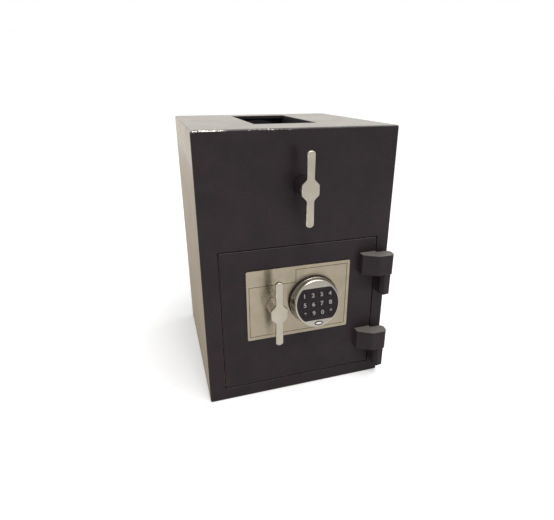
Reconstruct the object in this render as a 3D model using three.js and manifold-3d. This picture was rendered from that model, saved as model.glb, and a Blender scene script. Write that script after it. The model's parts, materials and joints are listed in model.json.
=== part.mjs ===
// A drop safe with a rotary deposit hopper.
// Millimetres. X runs to the right as seen from the front, Y to the back, Z up.
// The origin is the middle of the cabinet's base.

import * as THREE from "three";
import { RoundedBoxGeometry } from "three/addons/geometries/RoundedBoxGeometry.js";
import { mergeVertices } from "three/addons/utils/BufferGeometryUtils.js";
import Module from "manifold-3d";

const wasm = await Module();
wasm.setup();

// Shared clearances
const seatGap = 0.3; // between two pieces that are fastened face to face
const turningGap = 0.5; // round a shaft, pin or bolt in its hole
const cutOverrun = 2; // how far a cutter runs past the face that it cuts

// Cabinet
const cabinetWidth = 350;
const cabinetDepth = 345;
const cabinetHeight = 500;
const cabinetPlate = 6;
const cabinetEdgeRadius = 3.5;

// Deposit hole in the top
const depositWidth = 116;
const depositFrontMargin = 83.5;
const depositRearMargin = 49.5;

// Door opening in the front
const openingLeftMargin = 29;
const openingRightMargin = 24;
const openingSill = 25.5;
const openingTopMargin = 197;
const doorGap = 2;
const doorThickness = 10;

// Stops and keeper welded behind the front
const stopBarThickness = 4;
const stopBarWidth = 14;
const stopLip = 6;
const stopEndMargin = 36;
const doorStopGap = 0.8;
const keeperGap = 0.7; // to the bolts that slide in behind it
const keeperMargin = 2;
const keeperEndMargin = 34;

// Outside hinges
const hingeAxisFromSide = 12;
const hingeAxisProud = 16;
const hingePinDiameter = 10;
const hingePinEndMargin = 6;
const hingeBlockHeight = 39;
const hingeKnuckleHeight = 42.5;
const hingeSplitGap = 0.5;
const upperHingeShare = 0.757; // height of the joint line, as a share of the door's height
const lowerHingeShare = 0.1645;
const hingeLeafReach = 47; // from the axis to the leaf's far edge
const hingeLeafLip = 13.5;
const hingeRidgeReach = 20;
const hingeRidgeHeight = 14;
const hingeNoseReach = 7;
const hingeNoseHeight = 13.5;
const hingeCornerReach = 11.5;
const hingeCornerHeight = 8;
const hingeFlankReach = 12.5;
const hingeFlankHeight = 4.5;
const hingeBackRelief = 9.5;
const hingeBackReach = 8;
const hingeLeafEdgeMargin = 1;
const knuckleLeftReach = 9;
const knuckleLeftHeight = 2;
const knuckleShoulderReach = 4;
const knuckleShoulderHeight = 10;
const knuckleNoseReach = 9;
const knuckleNoseHeight = 8;
const knuckleRightReach = 11.5;

// Hopper drum
const drumRadius = 82;
const drumTopClearance = 3.3;
const drumRunningGap = 2.5;
const drumSkinThickness = 2.5;
const drumMouthHalfAngle = THREE.MathUtils.degToRad(45);
const drumEndThickness = 4;
const drumEndOverlap = 2; // the drum's inside runs this far past each end of the deposit hole
const drumSideGap = 5;
const troughThickness = 2.5;
const troughDepthBelowAxis = 45;
const troughCornerRadius = 12;

// Hopper casing
const casingPlateThickness = 4;
const linerThickness = 3;
const linerSideGap = 4;
const linerDropBelowAxis = 60;
const bushWall = 5;

// Hopper shaft and its stop
const shaftDiameter = 20;
const journalOverrun = 11; // past the rear plate
const stopArmThickness = 8;
const stopArmWall = 4;
const stopArmReach = 36;
const stopArmGap = 3;
const stopBlockGap = 0.4;
const stopBlockHeight = 10;

// T-handles
const handleLength = 123;
const handleThickness = 7;
const handleTipWidth = 13.6;
const handleRootWidth = 12.8;
const handleTipRise = 4;
const handleHubWidth = 30;
const handleHubSide = 16.8;
const handleBevel = 1.6;
const upperHandleProud = 44.5;
const upperBossWall = 5;
const upperBossInside = 8;
const lowerHandleProud = 42.5;
const lowerBossDiameter = 26;

// Lock plate
const lockPlateWidth = 197;
const lockPlateHeight = 139;
const lockPlateThickness = 1.6;
const lockPlateCornerRadius = 3;
const lockPlateShift = 4; // its middle, left of the door's middle
const lockPlateTopMargin = 38;
const lowerHandleFromMiddle = 49.5; // left of the plate's middle
const keypadFromMiddle = 26.9; // right of the plate's middle

// Keypad: a round housing on a black gasket, with a face that leans back
const keypadProud = 27; // the middle of its face, in front of the cabinet
const keypadLean = THREE.MathUtils.degToRad(12.5);
const keypadRise = 1.5; // the middle of its face, above the plate's middle
const keypadRimWidth = 3.55;
const keypadFlare = 3.7; // its foot's radius over its face's
const keypadFootHeight = 3;
const keypadRimRadius = 2.5;
const gasketThickness = 5;
const gasketFlange = 2;
const keyFaceMargin = 2.2;
const keyFaceEndMargin = 6.85;
const keyFaceThickness = 1.6;
const keyFaceSetback = 0.3;
const keyWidth = 10.5;
const keyHeight = 11.5;
const keyDepth = 2.8;
const keyProud = 0.4;
const keyTravel = 0.8;
const keyFloorGap = 0.5;
const keyCornerRadius = 1.5;
const keyPitchX = 16.4;
const keyPitchZ = 16.7;
const keyNames = ["1", "2", "3", "4", "5", "6", "7", "8", "star", "9", "0", "hash"];
const keyColumns = 4;

// Boltwork on the back of the door
const spindleDiameter = 12;
const boltDiameter = 18;
const boltLength = 42;
const boltTipInset = 7; // from the door's edge, withdrawn
const boltThrow = 20;
const boltEndMargin = 61.75;
const boltFrontGap = 1;
const crankRadius = 20;
const crankRunningGap = 1.2;
const crankPinDiameter = 8;
const crankPinOverrun = 2.8;
const carriageThickness = 5;
const carriageEndMargin = 14;
const carriageArmAbove = 14.5; // above the handle's axis
const carriageArmMargin = 8.4; // below the crank's slot
const slotLeftMargin = 10.7;
const slotRightMargin = 5.3;
const slotSideGap = 0.8;
const slotEndGap = 1;
const studDiameter = 8;
const studHeadDiameter = 14;
const studHeadThickness = 3;
const studFromBolt = 15;
const guideThickness = 4;
const guideBackMargin = 5;
const guideFoot = 18;
const guideFootThickness = 3;
const guideFromDoorEdge = 21;
const guideEndMargin = 26;
const deadBarWidth = 28;
const deadBarThickness = 6;
const deadBarOverlap = 7;
const deadBarEndMargin = 32;

// Lock on the back of the door
const lockCaseEndWall = 10;
const lockCaseHeight = 84;
const lockCaseDepth = 32;
const lockCaseFromHandle = 41;
const lockBoltHeight = 20;
const lockBoltThickness = 8;
const lockBoltLength = 48;
const lockBoltEndGap = 2;

// Faces and axes worked out from the sizes above
const leftFace = -cabinetWidth / 2;
const rightFace = cabinetWidth / 2;
const frontFace = -cabinetDepth / 2;
const backFace = cabinetDepth / 2;
const frontInside = frontFace + cabinetPlate;
const openingLeft = leftFace + openingLeftMargin;
const openingRight = rightFace - openingRightMargin;
const openingTop = cabinetHeight - openingTopMargin;
const doorLeft = openingLeft + doorGap;
const doorRight = openingRight - doorGap;
const doorBottom = openingSill + doorGap;
const doorTop = openingTop - doorGap;
const doorMiddleX = (doorLeft + doorRight) / 2;
const doorBack = frontFace + doorThickness;
const hingeAxisX = rightFace - hingeAxisFromSide;
const hingeAxisY = frontFace - hingeAxisProud;
const drumAxisZ = cabinetHeight - cabinetPlate - drumTopClearance - drumRadius;
const depositFront = frontFace + depositFrontMargin;
const depositBack = backFace - depositRearMargin;
const drumInsideFront = depositFront - drumEndOverlap;
const drumInsideBack = depositBack + drumEndOverlap;
const drumFront = drumInsideFront - drumEndThickness;
const drumBack = drumInsideBack + drumEndThickness;
const casingFrontInside = drumFront - drumSideGap;
const casingBackInside = drumBack + drumSideGap;
const casingFront = casingFrontInside - casingPlateThickness;
const casingBack = casingBackInside + casingPlateThickness;
const casingHalfWidth = drumRadius + linerSideGap + linerThickness;
const casingTop = cabinetHeight - cabinetPlate - seatGap;
const casingBottom = drumAxisZ - linerDropBelowAxis;
const shaftRadius = shaftDiameter / 2;
const upperBossRadius = shaftRadius + upperBossWall;
const stopArmHalfWidth = shaftRadius + stopArmWall;
const stopArmBack = casingFront - stopArmGap - seatGap;
const stopArmFront = stopArmBack - stopArmThickness;
const plateMiddleX = doorMiddleX - lockPlateShift;
const plateMiddleZ = doorTop - lockPlateTopMargin - lockPlateHeight / 2;
const plateBack = frontFace - seatGap;
const plateFront = plateBack - lockPlateThickness;
const lowerHandleX = plateMiddleX - lowerHandleFromMiddle;
const keypadX = plateMiddleX + keypadFromMiddle;
const keypadZ = plateMiddleZ + keypadRise;
const keypadFace = frontFace - keypadProud;
const middleColumn = (keyColumns - 1) / 2;
const middleRow = (keyNames.length / keyColumns - 1) / 2;
const keysHalfWidth = middleColumn * keyPitchX + keyWidth / 2;
const keysHalfHeight = middleRow * keyPitchZ + keyHeight / 2;
const keyFaceRadius = Math.hypot(keysHalfWidth, keysHalfHeight) + keyFaceMargin;
const keyFaceHalfHeight = keysHalfHeight + keyFaceEndMargin;
const keypadFaceRadius = keyFaceRadius + keypadRimWidth;
const keypadRadius = keypadFaceRadius + keypadFlare;
const boltAxisY = doorBack + boltFrontGap + boltDiameter / 2;
const boltTip = doorLeft + boltTipInset;
const carriageLeft = boltTip + boltLength + seatGap;
const carriageFront = boltAxisY - carriageThickness / 2;
const crankBack = carriageFront - crankRunningGap;
const crankPinOrbit = boltThrow / Math.SQRT2;
const guideLeft = doorLeft + guideFromDoorEdge;
const studX = carriageLeft + slotLeftMargin + slotEndGap + studDiameter / 2;
const lockCaseLeft = lowerHandleX + lockCaseFromHandle;
const lockWellEnd = lockCaseLeft + lockBoltLength + lockBoltEndGap;

// Finishes
function finish(color, roughness, metalness) {
  return new THREE.MeshStandardMaterial({ color, roughness, metalness });
}
const paint = finish(0x383334, 0.5, 0.1);
const innerPaint = finish(0x2b2829, 0.6, 0.1);
const stainless = finish(0xa59a86, 0.35, 0.9);
const castNickel = finish(0xb5ad9f, 0.35, 0.9);
const brightChrome = finish(0xc9c6c0, 0.12, 1);
const blackPlastic = finish(0x2c2628, 0.55, 0);
const zincSteel = finish(0xa3a5a4, 0.4, 0.9);
const bronze = finish(0x9a7b4f, 0.4, 0.9);

// Solids: a geometry becomes a solid to be cut or joined, and goes back to a geometry
function solidOf(geometry) {
  const bare = geometry.clone();
  bare.deleteAttribute("normal");
  bare.deleteAttribute("uv");
  const merged = mergeVertices(bare);
  const vertProperties = merged.attributes.position.array;
  const triVerts = new Uint32Array(merged.index.array);
  return new wasm.Manifold(new wasm.Mesh({ numProp: 3, vertProperties, triVerts }));
}

function geometryOf(solid) {
  const { vertProperties, triVerts } = solid.getMesh();
  const geometry = new THREE.BufferGeometry();
  geometry.setAttribute("position", new THREE.BufferAttribute(vertProperties, 3));
  geometry.setIndex(new THREE.BufferAttribute(triVerts, 1));
  const flat = geometry.toNonIndexed();
  flat.computeVertexNormals();
  return flat;
}

function cut(geometry, ...cutters) {
  const start = solidOf(geometry);
  return geometryOf(cutters.reduce((rest, cutter) => rest.subtract(solidOf(cutter)), start));
}

function join(geometry, ...others) {
  const start = solidOf(geometry);
  return geometryOf(others.reduce((sum, other) => sum.add(solidOf(other)), start));
}

function common(geometry, other) {
  return geometryOf(solidOf(geometry).intersect(solidOf(other)));
}

// A block between two opposite corners
function block(low, high) {
  const size = high.map((value, axis) => value - low[axis]);
  const middle = high.map((value, axis) => (value + low[axis]) / 2);
  return new THREE.BoxGeometry(...size).translate(...middle);
}

// Round bars along each direction
function rodAlongY(radius, front, back, x, z, sides = 32) {
  const rod = new THREE.CylinderGeometry(radius, radius, back - front, sides);
  return rod.translate(x, (front + back) / 2, z);
}

function rodAlongX(radius, left, right, y, z, sides = 24) {
  const rod = new THREE.CylinderGeometry(radius, radius, right - left, sides);
  return rod.rotateZ(Math.PI / 2).translate((left + right) / 2, y, z);
}

function rodAlongZ(radius, bottom, top, x, y, sides = 24) {
  const rod = new THREE.CylinderGeometry(radius, radius, top - bottom, sides);
  return rod.rotateX(Math.PI / 2).translate(x, y, (bottom + top) / 2);
}

// A turned piece on an axis along Y: its profile is a list of [radius, y], front to back
function turned(profile, x, z, sides = 48) {
  const points = profile.map(([radius, y]) => new THREE.Vector2(radius, y));
  return new THREE.LatheGeometry(points, sides).translate(x, 0, z);
}

function shapeOf(points) {
  return new THREE.Shape(points.map(([u, v]) => new THREE.Vector2(u, v)));
}

// An outline in X and Z, given its thickness along Y
function sliceAlongY(shape, front, back, curveSegments = 12) {
  const options = { depth: back - front, bevelEnabled: false, curveSegments };
  return new THREE.ExtrudeGeometry(shape, options).rotateX(Math.PI / 2).translate(0, back, 0);
}

// An outline in Y and Z, given its length along X
function sliceAlongX(shape, left, right) {
  const options = { depth: right - left, bevelEnabled: false };
  const turn = new THREE.Matrix4().makeBasis(
    new THREE.Vector3(0, 1, 0),
    new THREE.Vector3(0, 0, 1),
    new THREE.Vector3(1, 0, 0),
  );
  return new THREE.ExtrudeGeometry(shape, options).applyMatrix4(turn).translate(left, 0, 0);
}

// An outline in X and Y, given its height along Z
function sliceAlongZ(shape, bottom, top) {
  const options = { depth: top - bottom, bevelEnabled: false };
  return new THREE.ExtrudeGeometry(shape, options).translate(0, 0, bottom);
}

function roundedRectangle(x, z, width, height, radius) {
  const right = x + width / 2;
  const left = x - width / 2;
  const top = z + height / 2;
  const bottom = z - height / 2;
  const shape = new THREE.Shape();
  shape.absarc(right - radius, top - radius, radius, 0, Math.PI / 2);
  shape.absarc(left + radius, top - radius, radius, Math.PI / 2, Math.PI);
  shape.absarc(left + radius, bottom + radius, radius, Math.PI, Math.PI * 1.5);
  shape.absarc(right - radius, bottom + radius, radius, Math.PI * 1.5, Math.PI * 2);
  return shape;
}

// Each group is one moving body, and each piece sits in it by its own position
function place(group, name, geometry, material) {
  geometry.computeBoundingBox();
  const middle = geometry.boundingBox.getCenter(new THREE.Vector3());
  geometry.translate(-middle.x, -middle.y, -middle.z);
  const mesh = new THREE.Mesh(geometry, material);
  mesh.name = name;
  group.updateWorldMatrix(true, false);
  mesh.position.copy(group.worldToLocal(middle));
  group.add(mesh);
}

const safe = new THREE.Group();
const hopper = new THREE.Group();
hopper.position.set(0, drumFront, drumAxisZ);
const door = new THREE.Group();
door.position.set(hingeAxisX, hingeAxisY, 0);
safe.add(hopper, door);

// Cabinet: six plates cut from one round-edged block
function addCabinet() {
  const outside = new RoundedBoxGeometry(cabinetWidth, cabinetDepth, cabinetHeight, 3, cabinetEdgeRadius);
  outside.translate(0, 0, cabinetHeight / 2);
  const leftInside = leftFace + cabinetPlate;
  const rightInside = rightFace - cabinetPlate;
  const backInside = backFace - cabinetPlate;
  const topInside = cabinetHeight - cabinetPlate;
  const left = common(outside, block([leftFace, frontFace, 0], [leftInside, backFace, cabinetHeight]));
  const right = common(outside, block([rightInside, frontFace, 0], [rightFace, backFace, cabinetHeight]));
  place(safe, "side_left", left, paint);
  place(safe, "side_right", right, paint);

  const seatLeft = leftInside + seatGap;
  const seatRight = rightInside - seatGap;
  const bottom = block([seatLeft, frontFace, 0], [seatRight, backFace, cabinetPlate]);
  const top = block([seatLeft, frontFace, topInside], [seatRight, backFace, cabinetHeight]);
  const depositHole = block(
    [-depositWidth / 2, depositFront, topInside - cutOverrun],
    [depositWidth / 2, depositBack, cabinetHeight + cutOverrun],
  );
  place(safe, "bottom_plate", common(outside, bottom), paint);
  place(safe, "top_plate", cut(common(outside, top), depositHole), paint);

  const seatBottom = cabinetPlate + seatGap;
  const seatTop = topInside - seatGap;
  const back = block([seatLeft, backInside, seatBottom], [seatRight, backFace, seatTop]);
  place(safe, "back_plate", back, paint);

  const front = block([seatLeft, frontFace, seatBottom], [seatRight, frontInside, seatTop]);
  const doorHole = block(
    [openingLeft, frontFace - cutOverrun, openingSill],
    [openingRight, frontInside + cutOverrun, openingTop],
  );
  const bossHoleRadius = upperBossRadius + turningGap;
  const bossHole = rodAlongY(bossHoleRadius, frontFace - cutOverrun, frontInside + cutOverrun, 0, drumAxisZ);
  place(safe, "front_plate", cut(front, doorHole, bossHole), paint);
}

// Bars welded behind the front: the door closes on the stops, and the bolts catch behind the keeper
function addFrameBars() {
  const barFront = frontInside + seatGap;
  const lipFront = doorBack + doorStopGap;
  const barBack = lipFront + stopBarThickness;
  const left = openingLeft + stopEndMargin;
  const right = openingRight - stopEndMargin;
  const stops = [
    ["door_stop_top", openingTop, 1],
    ["door_stop_bottom", openingSill, -1],
  ];
  for (const [name, edge, outward] of stops) {
    const weldEdge = edge + outward * doorGap;
    const farEdge = edge + outward * stopBarWidth;
    const lipEdge = edge - outward * stopLip;
    const outline = [
      [barFront, weldEdge],
      [barFront, farEdge],
      [barBack, farEdge],
      [barBack, lipEdge],
      [lipFront, lipEdge],
      [lipFront, weldEdge],
    ];
    place(safe, name, sliceAlongX(shapeOf(outline), left, right), innerPaint);
  }
  const keeper = block(
    [leftFace + cabinetPlate + keeperMargin, barFront, doorBottom + keeperEndMargin],
    [openingLeft - keeperMargin, doorBack + boltFrontGap - keeperGap, doorTop - keeperEndMargin],
  );
  place(safe, "bolt_keeper", keeper, zincSteel);
}

// Outside hinges: the door's block turns on a pin that stands in the cabinet's knuckle
function addHinge(name, heightShare) {
  const splitHeight = doorBottom + (doorTop - doorBottom) * heightShare;
  const knuckleTop = splitHeight - hingeSplitGap / 2;
  const knuckleBottom = knuckleTop - hingeKnuckleHeight;
  const blockBottom = splitHeight + hingeSplitGap / 2;
  const blockTop = blockBottom + hingeBlockHeight;
  const seat = frontFace - seatGap;
  const x = hingeAxisX;
  const y = hingeAxisY;
  const knuckleOutline = [
    [x - knuckleLeftReach, seat],
    [x - knuckleLeftReach, y - knuckleLeftHeight],
    [x - knuckleShoulderReach, y - knuckleShoulderHeight],
    [x + knuckleNoseReach, y - knuckleNoseHeight],
    [x + knuckleRightReach, y + knuckleLeftHeight],
    [x + knuckleRightReach, seat],
  ];
  const blockOutline = [
    [x - hingeLeafReach, seat],
    [x - hingeLeafReach, frontFace - hingeLeafLip],
    [x - hingeRidgeReach, y - hingeRidgeHeight],
    [x + hingeNoseReach, y - hingeNoseHeight],
    [x + hingeCornerReach, y - hingeCornerHeight],
    [x + hingeFlankReach, y + hingeFlankHeight],
    [x + hingeBackReach, y + hingeBackRelief],
    [doorRight, y + hingeBackRelief],
    [doorRight - hingeLeafEdgeMargin, seat],
  ];
  const pinRadius = hingePinDiameter / 2;
  const pinBottom = knuckleBottom + hingePinEndMargin;
  const pinTop = blockTop - hingePinEndMargin;
  const bore = rodAlongZ(
    pinRadius + turningGap,
    pinBottom - seatGap,
    pinTop + turningGap,
    x,
    y,
  );
  const pin = rodAlongZ(pinRadius, pinBottom, pinTop, x, y);
  const knuckle = sliceAlongZ(shapeOf(knuckleOutline.reverse()), knuckleBottom, knuckleTop);
  const leaf = sliceAlongZ(shapeOf(blockOutline.reverse()), blockBottom, blockTop);
  place(safe, "hinge_knuckle_" + name, cut(knuckle, bore), paint);
  place(safe, "hinge_pin_" + name, pin, zincSteel);
  place(door, "hinge_block_" + name, cut(leaf, bore), paint);
}

// Hopper casing, hung under the top plate round the drum
function addHopperCasing() {
  const keepOut = drumRadius + drumRunningGap;
  const throat = depositWidth / 2;
  const throatBottom = drumAxisZ + Math.sqrt(keepOut ** 2 - throat ** 2);
  const front = casingFrontInside + seatGap;
  const back = casingBackInside - seatGap;
  for (const [name, side] of [["hopper_liner_left", -1], ["hopper_liner_right", 1]]) {
    const outline = [
      [throat, throatBottom],
      [throat, casingTop],
      [casingHalfWidth, casingTop],
      [casingHalfWidth, casingBottom],
      [casingHalfWidth - linerThickness, casingBottom],
      [casingHalfWidth - linerThickness, casingTop - linerThickness],
      [throat + linerThickness, casingTop - linerThickness],
      [throat + linerThickness, throatBottom],
    ].map(([across, up]) => [side * across, up]);
    place(safe, name, sliceAlongY(shapeOf(outline), front, back), innerPaint);
  }
  const plateEnds = [
    ["front", casingFront, casingFrontInside],
    ["rear", casingBackInside, casingBack],
  ];
  const bushRadius = shaftRadius + turningGap + bushWall;
  for (const [name, plateFrontFace, plateBackFace] of plateEnds) {
    const plate = block(
      [-casingHalfWidth, plateFrontFace, casingBottom],
      [casingHalfWidth, plateBackFace, casingTop],
    );
    const bushHole = rodAlongY(
      bushRadius + seatGap,
      plateFrontFace - cutOverrun,
      plateBackFace + cutOverrun,
      0,
      drumAxisZ,
    );
    const bush = rodAlongY(bushRadius, plateFrontFace, plateBackFace, 0, drumAxisZ);
    const boreRadius = shaftRadius + turningGap;
    const bore = rodAlongY(boreRadius, plateFrontFace - cutOverrun, plateBackFace + cutOverrun, 0, drumAxisZ);
    place(safe, "hopper_plate_" + name, cut(plate, bushHole), innerPaint);
    place(safe, "shaft_bush_" + name, cut(bush, bore), bronze);
  }
  const stopBottom = drumAxisZ + stopArmHalfWidth + stopBlockGap;
  const stopBlock = block(
    [-stopArmReach, stopArmFront, stopBottom],
    [stopArmReach, casingFront - seatGap, stopBottom + stopBlockHeight],
  );
  place(safe, "handle_stop", stopBlock, zincSteel);
}

// Outline of a T-handle: an eight-sided hub with two flared arms and round ends, upright
function handleShape(x, z) {
  const tip = handleTipWidth / 2;
  const root = handleRootWidth / 2;
  const hub = handleHubWidth / 2;
  const side = handleHubSide / 2;
  const shoulder = side + hub - root;
  const end = handleLength / 2;
  const armEnd = end - handleTipRise;
  const tipRadius = (tip ** 2 + handleTipRise ** 2) / (2 * handleTipRise);
  const sweep = Math.asin(tip / tipRadius);
  const shape = new THREE.Shape();
  shape.moveTo(x + hub, z - side);
  shape.lineTo(x + hub, z + side);
  shape.lineTo(x + root, z + shoulder);
  shape.lineTo(x + tip, z + armEnd);
  shape.absarc(x, z + end - tipRadius, tipRadius, Math.PI / 2 - sweep, Math.PI / 2 + sweep);
  shape.lineTo(x - root, z + shoulder);
  shape.lineTo(x - hub, z + side);
  shape.lineTo(x - hub, z - side);
  shape.lineTo(x - root, z - shoulder);
  shape.lineTo(x - tip, z - armEnd);
  shape.absarc(x, z - end + tipRadius, tipRadius, Math.PI * 1.5 - sweep, Math.PI * 1.5 + sweep);
  shape.lineTo(x + root, z - shoulder);
  shape.closePath();
  return shape;
}

function handleGeometry(x, z, proud) {
  const options = {
    depth: handleThickness - 2 * handleBevel,
    bevelThickness: handleBevel,
    bevelSize: handleBevel,
    bevelOffset: -handleBevel,
    bevelSegments: 1,
    curveSegments: 6,
  };
  const bar = new THREE.ExtrudeGeometry(handleShape(x, z), options);
  const back = frontFace - proud + handleThickness - handleBevel;
  return bar.rotateX(Math.PI / 2).translate(0, back, 0);
}

// Hopper: drum, trough, shaft, stop arm and the upper handle, turning as one
function addHopper() {
  const skin = new THREE.Shape();
  const mouthStart = Math.PI / 2 + drumMouthHalfAngle;
  const mouthEnd = Math.PI / 2 - drumMouthHalfAngle + Math.PI * 2;
  skin.absarc(0, drumAxisZ, drumRadius, mouthStart, mouthEnd, false);
  skin.absarc(0, drumAxisZ, drumRadius - drumSkinThickness, mouthEnd, mouthStart, true);
  skin.closePath();
  const insideFront = drumInsideFront + seatGap;
  const insideBack = drumInsideBack - seatGap;
  place(hopper, "drum_skin", sliceAlongY(skin, insideFront, insideBack, 36), innerPaint);

  const innerRadius = drumRadius - drumSkinThickness - seatGap;
  const outer = innerRadius * Math.sin(drumMouthHalfAngle);
  const rimTop = drumAxisZ + innerRadius * Math.cos(drumMouthHalfAngle);
  const inner = outer - troughThickness;
  const floor = drumAxisZ - troughDepthBelowAxis;
  const trough = new THREE.Shape();
  trough.moveTo(outer, rimTop);
  trough.lineTo(inner, rimTop);
  const cornerX = inner - troughCornerRadius;
  const cornerZ = floor + troughCornerRadius;
  trough.absarc(cornerX, cornerZ, troughCornerRadius, 0, -Math.PI / 2, true);
  trough.absarc(-cornerX, cornerZ, troughCornerRadius, -Math.PI / 2, -Math.PI, true);
  trough.lineTo(-inner, rimTop);
  trough.lineTo(-outer, rimTop);
  const bendRadius = troughCornerRadius + troughThickness;
  trough.absarc(-cornerX, cornerZ, bendRadius, Math.PI, Math.PI * 1.5);
  trough.absarc(cornerX, cornerZ, bendRadius, -Math.PI / 2, 0);
  trough.closePath();
  place(hopper, "deposit_trough", sliceAlongY(trough, insideFront, insideBack, 6), innerPaint);

  const frontDisc = rodAlongY(drumRadius, drumFront, drumInsideFront, 0, drumAxisZ, 48);
  place(hopper, "drum_end_front", frontDisc, innerPaint);
  const rearEnd = turned(
    [
      [0, drumInsideBack],
      [drumRadius, drumInsideBack],
      [drumRadius, drumBack],
      [shaftRadius, drumBack],
      [shaftRadius, casingBack + journalOverrun],
      [0, casingBack + journalOverrun],
    ],
    0,
    drumAxisZ,
  );
  place(hopper, "drum_end_rear", rearEnd, innerPaint);

  const handleBack = frontFace - upperHandleProud + handleThickness;
  const shaftFront = handleBack + seatGap;
  const shaft = rodAlongY(shaftRadius, shaftFront, drumFront - seatGap, 0, drumAxisZ);
  place(hopper, "hopper_shaft", shaft, zincSteel);

  const bossBack = frontInside + upperBossInside;
  const sleeve = rodAlongY(upperBossRadius, shaftFront, bossBack, 0, drumAxisZ);
  const fitRadius = shaftRadius + seatGap;
  const sleeveBore = rodAlongY(fitRadius, shaftFront - cutOverrun, bossBack + cutOverrun, 0, drumAxisZ);
  place(hopper, "upper_handle_boss", cut(sleeve, sleeveBore), blackPlastic);
  place(hopper, "upper_t_handle", handleGeometry(0, drumAxisZ, upperHandleProud), castNickel);

  const arm = new THREE.Shape();
  arm.moveTo(stopArmReach, drumAxisZ - stopArmHalfWidth);
  arm.lineTo(stopArmReach, drumAxisZ + stopArmHalfWidth);
  arm.absarc(0, drumAxisZ, stopArmHalfWidth, Math.PI / 2, Math.PI * 1.5);
  arm.closePath();
  const armBore = rodAlongY(fitRadius, stopArmFront - cutOverrun, stopArmBack + cutOverrun, 0, drumAxisZ);
  place(hopper, "stop_arm", cut(sliceAlongY(arm, stopArmFront, stopArmBack), armBore), zincSteel);
}

// Door plate with the stainless lock plate on its face
function addDoorPlate() {
  const spindleHoleRadius = spindleDiameter / 2 + turningGap;
  const plate = block([doorLeft, frontFace, doorBottom], [doorRight, doorBack, doorTop]);
  const spindleHole = rodAlongY(
    spindleHoleRadius,
    frontFace - cutOverrun,
    doorBack + cutOverrun,
    lowerHandleX,
    plateMiddleZ,
  );
  place(door, "door_plate", cut(plate, spindleHole), paint);
  const outline = roundedRectangle(
    plateMiddleX,
    plateMiddleZ,
    lockPlateWidth,
    lockPlateHeight,
    lockPlateCornerRadius,
  );
  const plateHole = rodAlongY(
    spindleHoleRadius,
    plateFront - cutOverrun,
    plateBack + cutOverrun,
    lowerHandleX,
    plateMiddleZ,
  );
  place(door, "lock_plate", cut(sliceAlongY(outline, plateFront, plateBack, 4), plateHole), stainless);
}

// Outline of the keypad's black face: a disc with its top and bottom cut straight
function keyFaceShape(grow) {
  const radius = keyFaceRadius + grow;
  const half = keyFaceHalfHeight + grow;
  const angle = Math.asin(half / radius);
  const shape = new THREE.Shape();
  shape.absarc(keypadX, keypadZ, radius, -angle, angle);
  shape.absarc(keypadX, keypadZ, radius, Math.PI - angle, Math.PI + angle);
  shape.closePath();
  return shape;
}

// Leans a piece of the keypad's face back about the middle of the face
function leaned(geometry) {
  geometry.translate(0, -keypadFace, -keypadZ);
  return geometry.rotateX(-keypadLean).translate(0, keypadFace, keypadZ);
}

// Leans and lifts the front of the keypad's housing, and leaves its foot upright
function skewed(geometry, front, foot) {
  const position = geometry.attributes.position;
  for (let index = 0; index < position.count; index += 1) {
    const y = position.getY(index);
    const z = position.getZ(index);
    const share = THREE.MathUtils.clamp((foot - y) / (foot - front), 0, 1);
    position.setY(index, y + share * (z - plateMiddleZ) * Math.tan(keypadLean));
    position.setZ(index, z + share * keypadRise);
  }
  return geometry;
}

function addKeypad() {
  const gasketBack = plateFront - seatGap;
  const gasketFront = gasketBack - gasketThickness;
  const gasketRadius = keypadRadius + gasketFlange;
  const gasket = rodAlongY(gasketRadius, gasketFront, gasketBack, keypadX, plateMiddleZ, 48);
  place(door, "keypad_gasket", gasket, blackPlastic);

  const rear = gasketFront - seatGap;
  const foot = rear - keypadFootHeight;
  const rimBack = keypadFace + keypadRimRadius;
  const rimCorner = keypadRimRadius * (1 - Math.SQRT1_2);
  const upright = turned(
    [
      [0, keypadFace],
      [keypadFaceRadius - keypadRimRadius, keypadFace],
      [keypadFaceRadius - rimCorner, keypadFace + rimCorner],
      [keypadFaceRadius, rimBack],
      [keypadRadius, foot],
      [keypadRadius, rear],
      [0, rear],
    ],
    keypadX,
    plateMiddleZ,
  );
  const faceFront = keypadFace + keyFaceSetback;
  const recessBack = faceFront - keyProud + keyDepth + keyTravel + keyFloorGap;
  const recess = leaned(sliceAlongY(keyFaceShape(seatGap), keypadFace - cutOverrun, recessBack, 16));
  place(door, "keypad_housing", cut(skewed(upright, rimBack, foot), recess), castNickel);

  const plate = sliceAlongY(keyFaceShape(0), faceFront, faceFront + keyFaceThickness, 16);
  const windows = [];
  keyNames.forEach((name, index) => {
    const column = index % keyColumns;
    const row = Math.floor(index / keyColumns);
    const x = keypadX + (column - middleColumn) * keyPitchX;
    const z = keypadZ + (middleRow - row) * keyPitchZ;
    const front = faceFront - keyProud;
    const cap = roundedRectangle(x, z, keyWidth, keyHeight, keyCornerRadius);
    const window = roundedRectangle(
      x,
      z,
      keyWidth + 2 * seatGap,
      keyHeight + 2 * seatGap,
      keyCornerRadius + seatGap,
    );
    const windowBack = faceFront + keyFaceThickness + cutOverrun;
    windows.push(sliceAlongY(window, faceFront - cutOverrun, windowBack, 3));
    const body = new THREE.Group();
    door.add(body);
    place(body, "key_" + name, leaned(sliceAlongY(cap, front, front + keyDepth, 3)), blackPlastic);
  });
  place(door, "keypad_face", leaned(cut(plate, ...windows)), blackPlastic);
}

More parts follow.
